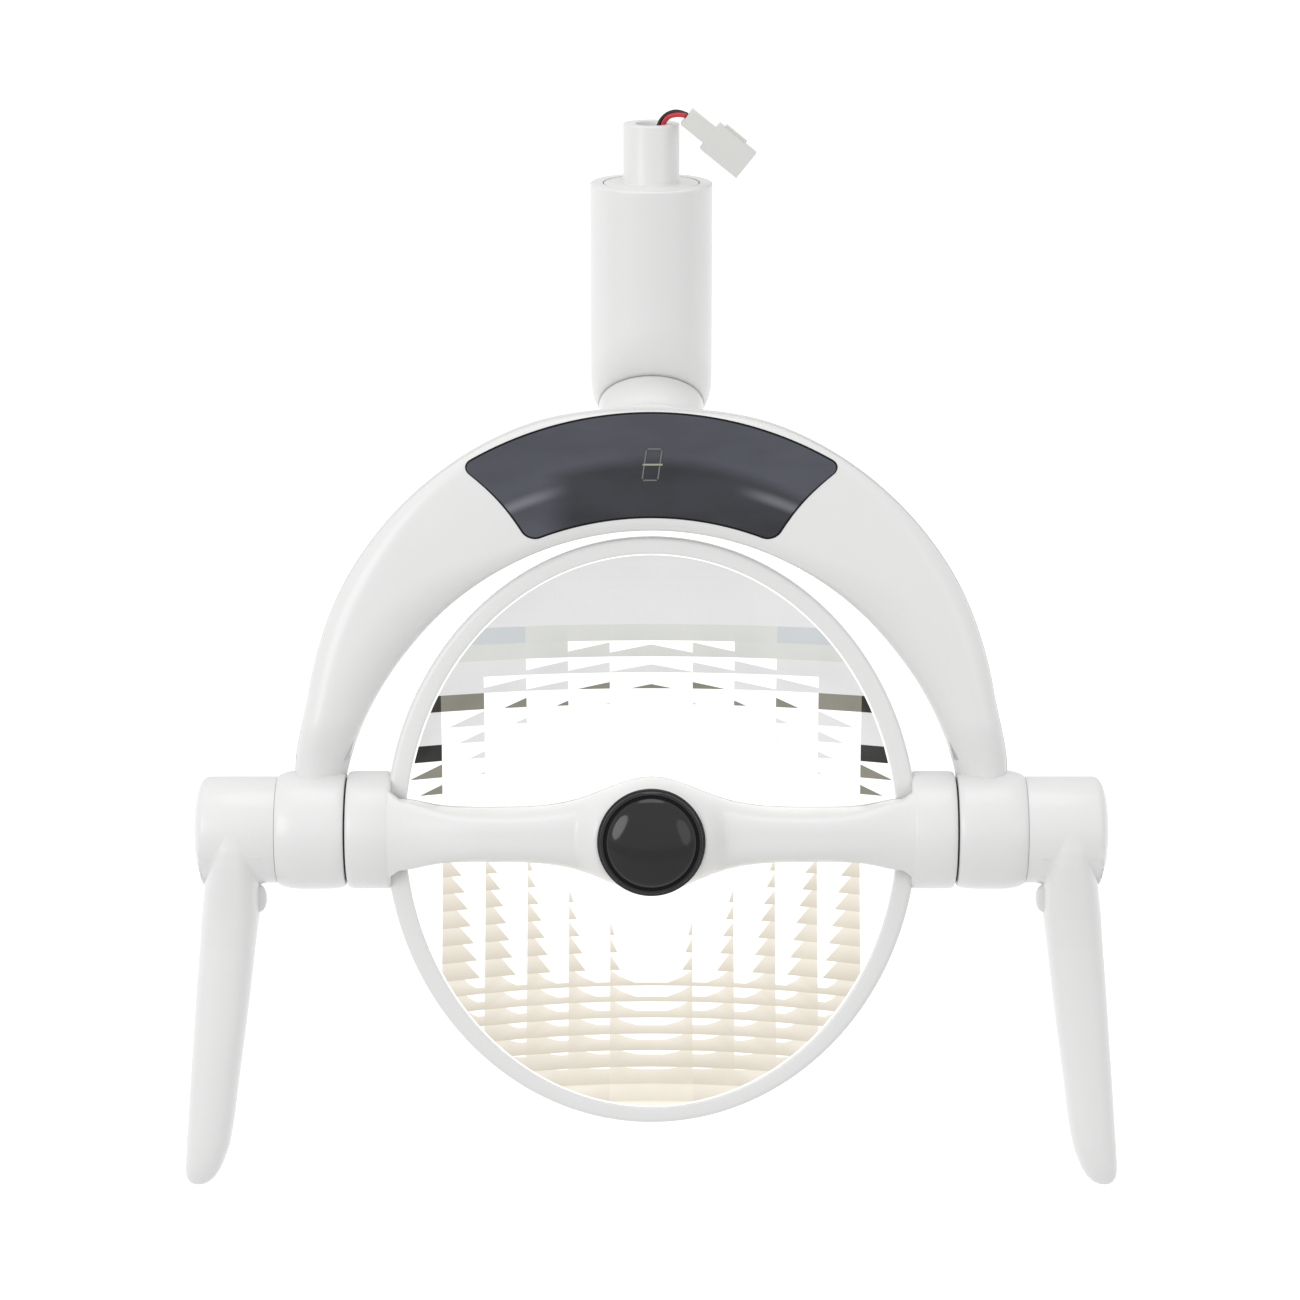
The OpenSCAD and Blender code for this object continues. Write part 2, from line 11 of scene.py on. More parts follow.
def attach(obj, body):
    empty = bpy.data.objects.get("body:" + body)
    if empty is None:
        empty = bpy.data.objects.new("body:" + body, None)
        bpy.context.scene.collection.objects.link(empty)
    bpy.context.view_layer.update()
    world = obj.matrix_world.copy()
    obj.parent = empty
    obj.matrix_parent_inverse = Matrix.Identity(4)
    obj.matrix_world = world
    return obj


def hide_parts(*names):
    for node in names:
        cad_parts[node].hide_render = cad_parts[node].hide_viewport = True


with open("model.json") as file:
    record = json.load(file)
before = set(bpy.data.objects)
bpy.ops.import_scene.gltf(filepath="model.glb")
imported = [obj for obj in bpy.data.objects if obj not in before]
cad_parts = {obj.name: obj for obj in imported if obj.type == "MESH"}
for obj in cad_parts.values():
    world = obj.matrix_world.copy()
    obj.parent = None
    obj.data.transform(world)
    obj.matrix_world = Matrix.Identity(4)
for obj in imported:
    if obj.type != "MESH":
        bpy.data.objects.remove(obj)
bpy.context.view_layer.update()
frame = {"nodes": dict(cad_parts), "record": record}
bpy.ops.object.select_all(action="DESELECT")

MM = 0.001
JOINTS = {joint["name"]: joint for joint in frame["record"]["behaviour"]["joints"]}
TILT_AXIS = Vector(JOINTS["head_tilt"]["pos_m"])
DIAGONAL = Vector(JOINTS["diagonal_swivel"]["pos_m"])
LEAN = math.radians(10.5)
LEAN_IN = Matrix.Translation(TILT_AXIS) @ Matrix.Rotation(-LEAN, 4, "X")
INTO_YOKE = LEAN_IN.inverted()


# ---- camera and free leads ----

def place_camera():
    """The camera looks down on the head by sixteen degrees, from straight in front."""
    down = math.radians(16)
    aim = Vector((-0.0005, -0.040, -0.1777))
    bpy.ops.object.camera_add(rotation=(math.pi / 2 - down, 0, 0))
    camera = bpy.context.object
    camera.location = aim + 1.5 * Vector((0, -math.cos(down), math.sin(down)))
    camera.data.lens = 106.1
    camera.data.sensor_width = 36
    camera.data.clip_end = 60
    bpy.context.scene.camera = camera


def spline_through(points, steps):
    """Points of a smooth curve through given ones, as the frame's own wires follow it."""
    curve = []
    for i in range(len(points) - 1):
        a = Vector(points[max(i - 1, 0)])
        b = Vector(points[i])
        c = Vector(points[i + 1])
        d = Vector(points[min(i + 2, len(points) - 1)])
        for s in range(steps):
            t = s / steps
            curve.append(0.5 * (2 * b + (c - a) * t + (2 * a - 5 * b + 4 * c - d) * t * t
                                + (3 * b - a - 3 * c + d) * t * t * t))
    curve.append(Vector(points[-1]))
    return curve


WIRE_D = 1.8
RED_ROUTE = [(1.4, -1.6, -22), (1.4, -1.6, 0), (2.8, -1.8, 14), (4.5, -1.9, 22.3),
             (6.3, -3.4, 25.5), (8.8, -6, 26.9), (11.2, -8.2, 27.3), (13.3, -9.9, 27.2)]
BLACK_ROUTE = [(-1.4, -1.6, -22), (-1.4, -1.6, 0), (0.2, -0.5, 14), (3, 0.2, 22.4),
               (5.2, -1.1, 25.9), (8.2, -3.6, 27.8), (11, -5.9, 28.1), (13.6, -7.6, 27.4)]


def free_lead(name, route, node):
    """One insulated lead, up the bore and over the spigot's rim into the connector."""
    points = [point * MM for point in spline_through(route, 3)]
    data = bpy.data.curves.new(name, "CURVE")
    data.dimensions = "3D"
    line = data.splines.new("POLY")
    line.points.add(len(points) - 1)
    for knot, point in zip(line.points, points):
        knot.co = (*point, 1)
    data.bevel_depth = WIRE_D / 2 * MM
    data.bevel_resolution = 5
    data.use_fill_caps = True
    lead = bpy.data.objects.new(name, data)
    bpy.context.collection.objects.link(lead)
    bpy.ops.object.select_all(action="DESELECT")
    lead.select_set(True)
    bpy.context.view_layer.objects.active = lead
    bpy.ops.object.convert(target="MESH")
    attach(lead, "stem")
    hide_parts(node)
    length = sum((b - a).length for a, b in zip(points, points[1:]))
    return lead


place_camera()
red_lead = free_lead("red_lead", RED_ROUTE, "wire_red")
black_lead = free_lead("black_lead", BLACK_ROUTE, "wire_black")


# ---- finishes ----

class Signal:
    """One socket's value, with the arithmetic that a pattern needs."""

    def __init__(self, finish, socket):
        self.finish = finish
        self.socket = socket

    def maths(self, operation, *others):
        return self.finish.node("ShaderNodeMath", {"operation": operation}, (self, *others))

    def __add__(self, other):
        return self.maths("ADD", other)

    def __sub__(self, other):
        return self.maths("SUBTRACT", other)

    def __rsub__(self, other):
        return self.finish.node("ShaderNodeMath", {"operation": "SUBTRACT"}, (other, self))

    def __mul__(self, other):
        return self.maths("MULTIPLY", other)

    __radd__ = __add__
    __rmul__ = __mul__

    def above(self, level):
        return self.maths("GREATER_THAN", level)

    def ramp(self, low, high):
        """0 at low and 1 at high, held between."""
        return self.finish.node("ShaderNodeMapRange", {"interpolation_type": "SMOOTHSTEP"},
                                {"Value": self, "From Min": low, "From Max": high})


class Finish:
    """A procedural material for one of the light's surfaces."""

    def __init__(self, name, metallic=0.0, roughness=0.4, coat=0.0, ior=1.46):
        self.material = bpy.data.materials.new(name)
        self.material.use_nodes = True
        self.tree = self.material.node_tree
        self.shader = self.tree.nodes["Principled BSDF"]
        self.set("Metallic", metallic)
        self.set("Roughness", roughness)
        self.set("Coat Weight", coat)
        self.set("IOR", ior)

    def node(self, kind, settings, sockets, out=0):
        """Adds one node: its settings first, then its sockets' values or links."""
        made = self.tree.nodes.new(kind)
        for key, value in settings.items():
            setattr(made, key, value)
        pairs = sockets.items() if isinstance(sockets, dict) else enumerate(sockets)
        for key, value in pairs:
            if isinstance(value, Signal):
                self.tree.links.new(value.socket, made.inputs[key])
            else:
                made.inputs[key].default_value = value
        return Signal(self, made.outputs[out])

    def set(self, socket, value):
        if isinstance(value, Signal):
            self.tree.links.new(value.socket, self.shader.inputs[socket])
        else:
            self.shader.inputs[socket].default_value = value

    def place(self):
        return self.node("ShaderNodeTexCoord", {}, {}, out="Object")

    def axes(self):
        split = self.tree.nodes.new("ShaderNodeSeparateXYZ")
        self.tree.links.new(self.place().socket, split.inputs[0])
        return [Signal(self, output) for output in split.outputs]

    def noise(self, scale, detail=2.0, stretch=None):
        where = self.place()
        if stretch:
            where = self.node("ShaderNodeMapping", {}, {"Vector": where, "Scale": stretch})
        return self.node("ShaderNodeTexNoise", {}, {"Vector": where, "Scale": scale,
                                                    "Detail": detail})

    def mix(self, amount, first, second):
        """Blends two colours, each a tuple or a Signal."""
        made = self.tree.nodes.new("ShaderNodeMix")
        made.data_type = "RGBA"
        for index, value in ((0, amount), (6, first), (7, second)):
            if isinstance(value, Signal):
                self.tree.links.new(value.socket, made.inputs[index])
            elif index:
                made.inputs[index].default_value = (*value, 1)
            else:
                made.inputs[index].default_value = value
        return Signal(self, made.outputs[2])

    def bump(self, height, distance):
        self.set("Normal", self.node("ShaderNodeBump", {}, {"Height": height, "Strength": 1.0,
                                                            "Distance": distance}))


def moulded(name, light, dark, roughness=0.3, coat=0.0, grain=0.00001):
    """Moulded plastic: faint colour drift, fine handling marks in the gloss, a slight texture."""
    finish = Finish(name, coat=coat)
    drift = finish.noise(9.0).ramp(0.35, 0.7)
    finish.set("Base Color", finish.mix(drift, light, dark))
    marks = finish.noise(60.0, 4.0)
    finish.set("Roughness", marks * 0.08 + (roughness - 0.04))
    finish.bump(finish.noise(1400.0, 2.0), grain)
    return finish.material


def metal(name, light, dark, roughness, stretch):
    """Machined or cast metal: streaks or grain in the colour, roughness and surface."""
    finish = Finish(name, metallic=1.0)
    streaks = finish.noise(120.0, 4.0, stretch)
    finish.set("Base Color", finish.mix(streaks.ramp(0.3, 0.75), light, dark))
    finish.set("Roughness", streaks * 0.2 + (roughness - 0.1))
    finish.bump(streaks, 0.00002)
    return finish.material


def circuit_board():
    """Green solder mask with copper tracks showing as slightly lighter lines."""
    finish = Finish("solder_mask", roughness=0.35)
    x, _, z = finish.axes()
    tracks = (x * 900.0).maths("FRACT").above(0.72) * (z * 240.0).maths("FRACT").above(0.35)
    finish.set("Base Color", finish.mix(tracks, (0.02, 0.13, 0.05), (0.05, 0.24, 0.10)))
    finish.bump(tracks, 0.00003)
    return finish.material


def smoked_window():
    """Dark grey-blue gloss window, with painted reflections: lighter along its top and left, with a
    soft painted highlight streak each side.
    """
    finish = Finish("smoked_gloss", roughness=0.07, coat=0.15, ior=1.45)
    x, _, z = finish.axes()
    up = z - TILT_AXIS.z
    from_low_centre = (x * x + (up - 0.025) * (up - 0.025)).maths("SQRT", 0.0)
    from_axis = (x * x + up * up * 1.04).maths("SQRT", 0.0)
    haze = finish.noise(26.0, 3.0, (1, 1, 3)).ramp(0.3, 0.7)
    # painted reflection: the window is lighter along its top and its left side
    light = from_low_centre.ramp(0.117, 0.123).maths("MAXIMUM", (x * -1.0).ramp(0.028, 0.044))
    smoke_and_reflection = finish.mix(haze * 0.25 + light * 0.75, (0.017, 0.018, 0.023), (0.075, 0.078, 0.098))
    side = x.maths("ABSOLUTE", 0.0).ramp(0.030, 0.048)
    # painted highlight: a soft bright streak at each side of the window
    painted_streak = side * from_axis.ramp(0.1375, 0.1405) * (from_axis * -1.0).ramp(-0.1440, -0.1405)
    finish.set("Base Color", finish.mix(painted_streak * 0.3, smoke_and_reflection, (0.42, 0.43, 0.47)))
    finish.set("Roughness", haze * 0.05 + 0.05)
    return finish.material


def mirror_facets():
    """The vacuum-coated mirror, shown by painted reflections: each facet carries its own painted
    brightness and warmth, and glows with painted light.
    """
    finish = Finish("mirror_facets", metallic=0.3, roughness=0.3)
    tone = finish.node("ShaderNodeAttribute", {"attribute_name": "tone"}, {}, out="Color")
    veil = finish.noise(35.0, 3.0).ramp(0.3, 0.7)
    dimmed = finish.mix(0.72, tone, (0.0, 0.0, 0.0))
    finish.set("Base Color", finish.mix(veil * 0.04, dimmed, (0.95, 0.94, 0.90)))
    # painted light: each facet glows with the colour of its painted reflection
    painted_glow = finish.node("ShaderNodeAttribute", {"attribute_name": "painted_glow"}, {}, out="Color")
    finish.set("Emission Color", painted_glow)
    finish.set("Emission Strength", 1.0)
    finish.set("Roughness", veil * 0.08 + 0.14)
    return finish.material


def glowing(name, colour, strength):
    """A lit lens, brightest where its moulding is clear."""
    finish = Finish(name, roughness=0.2)
    cloud = finish.noise(300.0, 2.0).ramp(0.3, 0.7)
    finish.set("Base Color", finish.mix(cloud, colour, (1.0, 1.0, 0.95)))
    finish.set("Emission Color", finish.mix(cloud, colour, (1.0, 0.98, 0.92)))
    finish.set("Emission Strength", strength)
    return finish.material


FINISHES = {
    "white_plastic": moulded("satin_white", (0.80, 0.80, 0.795), (0.785, 0.785, 0.78), 0.33, 0.15),
    "steel": metal("turned_steel", (0.66, 0.67, 0.69), (0.48, 0.49, 0.51), 0.32, (1, 1, 12)),
    "cast_alloy": metal("cast_alloy", (0.62, 0.63, 0.65), (0.50, 0.51, 0.53), 0.5, (1, 1, 1)),
    "bush_plastic": moulded("bearing_plastic", (0.72, 0.66, 0.50), (0.66, 0.60, 0.45), 0.5),
    "dark_rubber": moulded("dark_rubber", (0.035, 0.035, 0.037), (0.05, 0.05, 0.052), 0.6),
    "copper": metal("copper_wire", (0.72, 0.38, 0.24), (0.55, 0.28, 0.17), 0.35, (1, 1, 1)),
    "red_sleeve": moulded("red_sleeve", (0.60, 0.03, 0.05), (0.48, 0.02, 0.04), 0.35),
    "black_sleeve": moulded("black_sleeve", (0.018, 0.018, 0.018), (0.03, 0.03, 0.03), 0.35),
    "connector_nylon": moulded("connector_nylon", (0.74, 0.74, 0.72), (0.68, 0.68, 0.66), 0.4),
    "contact_metal": metal("tinned_contact", (0.78, 0.76, 0.70), (0.6, 0.58, 0.5), 0.3, (1, 1, 1)),
    "smoked_window": smoked_window(),
    "circuit_board": circuit_board(),
    "display_black": moulded("display_black", (0.02, 0.02, 0.022), (0.03, 0.03, 0.03), 0.25),
    "mirror": mirror_facets(),
    "led_ceramic": moulded("led_ceramic", (0.82, 0.82, 0.80), (0.74, 0.74, 0.72), 0.5),
    "led_lens": glowing("lit_lens", (1.0, 0.95, 0.80), 3.0),
    "black_gloss": moulded("black_gloss", (0.012, 0.012, 0.013), (0.018, 0.018, 0.02), 0.1, 0.0,
                           0.0),
}
SEGMENT_GREY = moulded("segment_grey", (0.16, 0.165, 0.16), (0.13, 0.135, 0.13), 0.5)
SEGMENT_LIT = moulded("segment_lit", (0.36, 0.36, 0.27), (0.32, 0.32, 0.25), 0.5)
GASKET_BLACK = moulded("gasket_black", (0.004, 0.004, 0.005), (0.006, 0.006, 0.007), 0.95, 0.0)


def dress(piece, finish):
    piece.data.materials.clear()
    piece.data.materials.append(finish)


for lead, slot in ((red_lead, "red_sleeve"), (black_lead, "black_sleeve")):
    dress(lead, FINISHES[slot])


# ---- workshop tools ----

TOUCHING = 0.000002


def pick_up(piece):
    bpy.ops.object.select_all(action="DESELECT")
    piece.select_set(True)
    bpy.context.view_layer.objects.active = piece


def edit(piece, work):
    """Runs edit-mode work with the whole mesh selected."""
    pick_up(piece)
    bpy.ops.object.mode_set(mode="EDIT")
    bpy.ops.mesh.select_all(action="SELECT")
    work()
    bpy.ops.object.mode_set(mode="OBJECT")


def tidy_mesh(piece):
    """Merges doubles and turns every face outwards."""
    def work():
        bpy.ops.mesh.remove_doubles(threshold=TOUCHING)
        bpy.ops.mesh.normals_make_consistent(inside=False)
    edit(piece, work)


def closed_up(piece):
    """Caps any open rim, so that the piece is a closed body."""
    edit(piece, lambda: bpy.ops.mesh.fill_holes(sides=0))
    tidy_mesh(piece)


def modify(piece, kind, **settings):
    """Adds one modifier and applies it."""
    pick_up(piece)
    modifier = piece.modifiers.new(kind.lower(), kind)
    for key, value in settings.items():
        setattr(modifier, key, value)
    bpy.ops.object.modifier_apply(modifier=modifier.name)


def rounded(piece, width, segments=3, angle=40):
    modify(piece, "BEVEL", width=width * MM, segments=segments, limit_method="ANGLE",
           angle_limit=math.radians(angle), use_clamp_overlap=True)


def smooth(piece, angle=40):
    pick_up(piece)
    bpy.ops.object.shade_smooth_by_angle(angle=math.radians(angle))


def put(piece, matrix):
    """Moves the mesh itself, so that the object stays at the origin."""
    pick_up(piece)
    piece.matrix_world = matrix
    bpy.ops.object.transform_apply(location=True, rotation=True, scale=True)


def one_point(name, point):
    """A mesh of a single vertex, ready to be extruded."""
    bpy.ops.mesh.primitive_plane_add(size=MM, location=Vector(point) * MM)
    piece = bpy.context.object
    piece.name = name
    piece.data.name = name
    bpy.ops.object.transform_apply(location=True)
    bpy.ops.object.mode_set(mode="EDIT")
    bpy.ops.mesh.select_all(action="SELECT")
    bpy.ops.mesh.merge(type="CENTER")
    return piece


def draw_on(points):
    """Extrudes the live vertex along the points."""
    for a, b in zip(points, points[1:]):
        step = (Vector(b) - Vector(a)) * MM
        bpy.ops.mesh.extrude_vertices_move(TRANSFORM_OT_translate={"value": step})


def turned(name, profile, axis="Z", start=0.0, turn=360.0, steps=96):
    """A turned piece. The profile is a closed loop of (radius, place along the axis)."""
    along = {"X": (1, 0, 0), "Y": (0, 1, 0), "Z": (0, 0, 1)}[axis]
    across = {"X": (0, 1, 0), "Y": (1, 0, 0), "Z": (1, 0, 0)}[axis]
    spin_back = Matrix.Rotation(math.radians(start), 3, axis)
    points = []
    for r, h in list(profile) + [profile[0]]:
        points.append(Vector(along) * h + (spin_back @ Vector(across)) * r)
    piece = one_point(name, points[0])
    draw_on(points)
    bpy.ops.mesh.select_all(action="SELECT")
    bpy.ops.mesh.remove_doubles(threshold=TOUCHING)
    bpy.ops.mesh.select_all(action="SELECT")
    bpy.ops.mesh.spin(steps=steps, angle=math.radians(turn), center=(0, 0, 0), axis=along)
    bpy.ops.object.mode_set(mode="OBJECT")
    tidy_mesh(piece)
    if turn < 360:
        closed_up(piece)
    return piece


def plate(name, outline, low, high):
    """A flat piece: a closed outline in x and z, filled, and raised along Y from low to high."""
    points = [(x, low, z) for x, z in outline]
    piece = one_point(name, points[0])
    draw_on(points + [points[0]])
    bpy.ops.mesh.select_all(action="SELECT")
    bpy.ops.mesh.remove_doubles(threshold=TOUCHING)
    bpy.ops.mesh.select_all(action="SELECT")
    bpy.ops.mesh.edge_face_add()
    rise = (0, (high - low) * MM, 0)
    bpy.ops.mesh.extrude_region_move(TRANSFORM_OT_translate={"value": rise})
    bpy.ops.object.mode_set(mode="OBJECT")
    tidy_mesh(piece)
    return piece


def formed(name, across, along, shape):
    """A sheet formed over a shape: a grid whose vertices are pressed to shape(u, v)."""
    bpy.ops.mesh.primitive_grid_add(x_subdivisions=across, y_subdivisions=along, size=1)
    piece = bpy.context.object
    piece.name = name
    piece.data.name = name
    for vertex in piece.data.vertices:
        u = vertex.co.x + 0.5
        v = vertex.co.y + 0.5
        vertex.co = Vector(shape(u, v)) * MM
    tidy_mesh(piece)
    return piece


def joined(name, *pieces):
    pick_up(pieces[0])
    for piece in pieces[1:]:
        piece.select_set(True)
    bpy.ops.object.join()
    whole = bpy.context.object
    whole.name = name
    whole.data.name = name
    return whole


def mirrored_copy(piece, name):
    """The same piece for the other side, in its own mesh and turned right side out."""
    twin = piece.copy()
    twin.data = piece.data.copy()
    twin.name = name
    twin.data.name = name
    bpy.context.collection.objects.link(twin)
    put(twin, Matrix.Scale(-1, 4, (1, 0, 0)))
    edit(twin, lambda: bpy.ops.mesh.flip_normals())
    return twin


def fit(piece, body, slot, *nodes, finish=None, angle=40):
    """Gives a finished piece its body, the CAD nodes that it stands for, and its finish."""
    smooth(piece, angle)
    dress(piece, finish or FINISHES[slot])
    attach(piece, body)
    if nodes:
        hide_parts(*nodes)


def blend_between(t, low, high):
    """0 below low, 1 above high and a smooth step between."""
    t = min(max((t - low) / (high - low), 0), 1)
    return t * t * (3 - 2 * t)


# ---- spigot and neck ----

def build_spigot():
    """The white spigot, its shoulder flange and the spindle that turns in the neck."""
    profile = [(6.25, -41), (6.25, 22.7), (6.4, 22.95), (6.7, 23), (10.6, 23), (10.85, 22.93),
               (10.97, 22.75), (11, 22.5), (11, 0.7), (11.1, 0.3), (11.4, 0.08), (11.9, 0),
               (18.0, 0), (18.4, -0.15), (18.5, -0.6), (18.5, -5), (10, -5), (10, -41)]
    fit(turned("spigot", profile), "stem", "white_plastic", "mounting_spigot")


NECK_R = 23.85
NECK_ROUND = 0.8
NECK_HOLE_R = 18.95
COLLAR_R = 21.0
COLLAR_HOLE_R = 18.4
JOINT_GAP = 0.3
JOINT_Z = DIAGONAL.z / MM
HALF_TURN = math.sqrt(0.5)


def neck_skin(turn, down):
    """A point of the neck's outside, with down running from the top hole to the collar's inside.

    The top face takes the first share of down, then the rounded edge, the straight tube, the
    curve in to the collar and the collar's own underside, which lies in the slanted joint.
    """
    c = math.cos(turn)
    s = math.sin(turn)
    joint_up = 8 / HALF_TURN + JOINT_Z - NECK_R * s
    rim = Vector((COLLAR_R * c, COLLAR_R * s * HALF_TURN, JOINT_Z - COLLAR_R * s * HALF_TURN))
    rim += Vector((0, HALF_TURN, HALF_TURN)) * JOINT_GAP
    start = Vector((NECK_R * c, NECK_R * s, joint_up))
    drop = joint_up - rim.z
    bend = start - Vector((0, 0, 0.62 * drop))
    if down < 0.12:
        r = NECK_HOLE_R + (NECK_R - NECK_ROUND - NECK_HOLE_R) * down / 0.12
        return Vector((r * c, r * s, 0))
    if down < 0.26:
        a = (down - 0.12) / 0.14 * math.pi / 2
        r = NECK_R - NECK_ROUND + NECK_ROUND * math.sin(a)
        return Vector((r * c, r * s, NECK_ROUND * (math.cos(a) - 1)))
    if down < 0.56:
        t = (down - 0.26) / 0.30
        return Vector((NECK_R * c, NECK_R * s, (joint_up + NECK_ROUND) * t - NECK_ROUND))
    if down < 0.9:
        t = (down - 0.56) / 0.34
        return start.lerp(bend, t).lerp(bend.lerp(rim, t), t)
    t = (down - 0.9) / 0.1
    inner = Vector((COLLAR_HOLE_R * c, COLLAR_HOLE_R * s * HALF_TURN,
                    JOINT_Z - COLLAR_HOLE_R * s * HALF_TURN))
    inner += Vector((0, HALF_TURN, HALF_TURN)) * JOINT_GAP
    return rim.lerp(inner, t)


def build_neck():
    """Two moulded half shells that meet along a fine line at each side."""
    halves = (("neck_front_half", math.pi, "neck_front_shell"),
              ("neck_rear_half", 0.0, "neck_rear_shell"))
    seam = 0.10 / NECK_R
    for name, start, node in halves:
        def skin(u, v):
            return neck_skin(start + seam + u * (math.pi - 2 * seam), 1 - v)
        half = formed(name, 96, 100, skin)
        modify(half, "SOLIDIFY", thickness=2.2 * MM, offset=-1)
        rounded(half, 0.12, 1, 60)
        fit(half, "neck", "white_plastic", node, angle=35)


# ---- the yoke ----

def arch_edges(a):
    """The arch's inner and outer reach from the tilt axis, at an angle from the right."""
    c = math.cos(a)
    s = math.sin(a)
    outer = 31 * s + math.sqrt(135.5 ** 2 - (31 * c) ** 2)
    crown = -80 * s + math.sqrt(244 ** 2 - (80 * c) ** 2)
    inner = -0.5 * s + math.sqrt(118 ** 2 - (0.5 * c) ** 2)
    soft = 0.5 * (outer + crown - math.sqrt((outer - crown) ** 2 + 3))
    up = math.degrees(a if a < math.pi / 2 else math.pi - a)
    inner += 2.9 * (1 - blend_between(up, 5, 42))
    soft += 3.8 * (1 - blend_between(up, 8, 22)) - 0.8 * (1 - blend_between(up, 25, 42))
    return inner, soft


def arch_depth(x, z):
    """How far the arch's face stands out in front of the split plane at a place on it."""
    a = math.atan2(z, x)
    inner, outer = arch_edges(a)
    reach = math.hypot(x, z)
    off_crown = abs(math.degrees(a) - 90)
    leg = blend_between(off_crown, 24, 52)
    edge_out = 1.8 + 2.4 * blend_between(off_crown, 8, 26) + 4.8 * leg
    edge_in = 6.0 + 12.0 * leg
    drop_out = 2.6 + 3.4 * leg
    drop_in = 4.6 + 7.4 * leg
    from_out = outer - reach
    from_in = reach - inner
    depth = 14.7 + 0.9 * math.sin(math.pi * min(max(from_in / (outer - inner), 0), 1))
    if from_out < edge_out:
        t = 1 - max(from_out, 0) / edge_out
        depth -= drop_out * (1 - math.sqrt(max(1 - t * t, 0)))
    if from_in < edge_in:
        t = 1 - max(from_in, 0) / edge_in
        depth -= drop_in * (1 - math.sqrt(max(1 - t * t, 0)))
    return depth - min(5.5 * (1 - blend_between(z, 19, 44)), depth - 1)


ARCH_FOOT = math.radians(3.5)


def arch_row(u):
    """The angle for a share of the way from one foot to the other."""
    return ARCH_FOOT + (math.pi - 2 * ARCH_FOOT) * u


def front_arch_skin(u, v):
    """The front cover's section, from the inner split line over the face to the outer one."""
    a = arch_row(u)
    inner, outer = arch_edges(a)
    c = math.cos(a)
    s = math.sin(a)
    if v < 0.1:
        y = -arch_depth(inner * c, inner * s) * v / 0.1
        return (inner * c, y, inner * s)
    if v > 0.9:
        y = -arch_depth(outer * c, outer * s) * (1 - v) / 0.1
        return (outer * c, y, outer * s)
    t = (v - 0.1) / 0.8
    t = 0.5 - 0.5 * math.cos(math.pi * t)
    reach = inner + (outer - inner) * t
    return (reach * c, -arch_depth(reach * c, reach * s), reach * s)


EAR_IN = 118.9
EAR_OUT = 145.5
EAR_PROFILE = [(14.1, EAR_IN + 1.05), (20.25, EAR_IN + 1.05), (20.25, EAR_IN), (21.2, EAR_IN),
               (21.75, EAR_IN + 0.15), (22.2, EAR_IN + 0.6), (22.75, EAR_IN + 2.2),
               (23.1, EAR_IN + 4.8), (23.3, EAR_IN + 9.0), (23.3, EAR_OUT - 9.0),
               (23.1, EAR_OUT - 6.0), (22.65, EAR_OUT - 3.6), (22.0, EAR_OUT - 1.6),
               (21.5, EAR_OUT - 0.6), (20.9, EAR_OUT), (14.1, EAR_OUT)]


def half_bar(name, profile, front):
    """Half of a turned barrel along X, in front of the split plane or behind it."""
    return turned(name, profile, axis="X", start=90.0 if front else -90.0, turn=180.0, steps=56)


def build_yoke_front():
    cover = formed("yoke_front", 220, 40, front_arch_skin)
    closed_up(cover)
    right = turned("ear_right", EAR_PROFILE, axis="X", steps=112)
    left = mirrored_copy(right, "ear_left")
    cover = joined("yoke_front", cover, right, left)
    put(cover, LEAN_IN)
    fit(cover, "yoke", "white_plastic", "yoke_front_cover", angle=50)


REAR_PROUD = 0.8
REAR_DEPTH = 5.0
REAR_ROUND = 1.3
# The rear cover's side wall as (in from its edge, depth), from the split line to its back.
REAR_WALL = [(0.0, 0.05), (0.0, 3.6), (0.35, 4.6), (REAR_ROUND, REAR_DEPTH)]


def rear_wall(share):
    """The set-in and depth a share of the way up the rear cover's side wall."""
    place = share * 3
    i = min(int(place), 2)
    (low_in, low_y), (high_in, high_y) = REAR_WALL[i:i + 2]
    return low_in + (high_in - low_in) * (place - i), low_y + (high_y - low_y) * (place - i)


def rear_arch_skin(u, v):
    """The rear cover stands a little proud of the front one and is rounded at the back."""
    a = arch_row(u)
    inner, outer = arch_edges(a)
    outer += REAR_PROUD
    y = REAR_DEPTH
    if v <= 0.25:
        skin, y = rear_wall(v / 0.25)
        reach = inner + skin
    elif v >= 0.75:
        skin, y = rear_wall((1 - v) / 0.25)
        reach = outer - skin
    else:
        reach = inner + REAR_ROUND + (outer - inner - 2 * REAR_ROUND) * (v - 0.25) / 0.5
    return (reach * math.cos(a), y, reach * math.sin(a))


SLEEVE_FOOT = Vector((0, 5, 141))
SLEEVE_R = 20.7
SLEEVE_LOWEST = 118.5
SLEEVE_HIGHEST = 164.2
JOINT_IN_YOKE = INTO_YOKE @ DIAGONAL / MM


def sleeve_skin(u, v):
    """The sleeve from the back of the arch up to the round joint line, flared at its foot."""
    turn = 2 * math.pi * u
    c = math.cos(turn)
    s = math.sin(turn)
    tilt = INTO_YOKE.to_3x3()
    normal = tilt @ Vector((0, HALF_TURN, HALF_TURN))
    down_back = tilt @ Vector((0, HALF_TURN, -HALF_TURN))
    r = SLEEVE_R - 3.2 * max(v - 0.92, 0) / 0.08
    top = JOINT_IN_YOKE + Vector((r * c, 0, 0)) + down_back * r * s - normal * JOINT_GAP
    flare = 5.0 * (1 - blend_between(v, 0.0, 0.42)) ** 2
    foot_r = 20.4 + flare
    foot = SLEEVE_FOOT + Vector((foot_r * c, -1.5, -foot_r * s))
    foot.z = max(min(foot.z, SLEEVE_HIGHEST), SLEEVE_LOWEST)
    t = min(v / 0.92, 1)
    return foot.lerp(top, t)


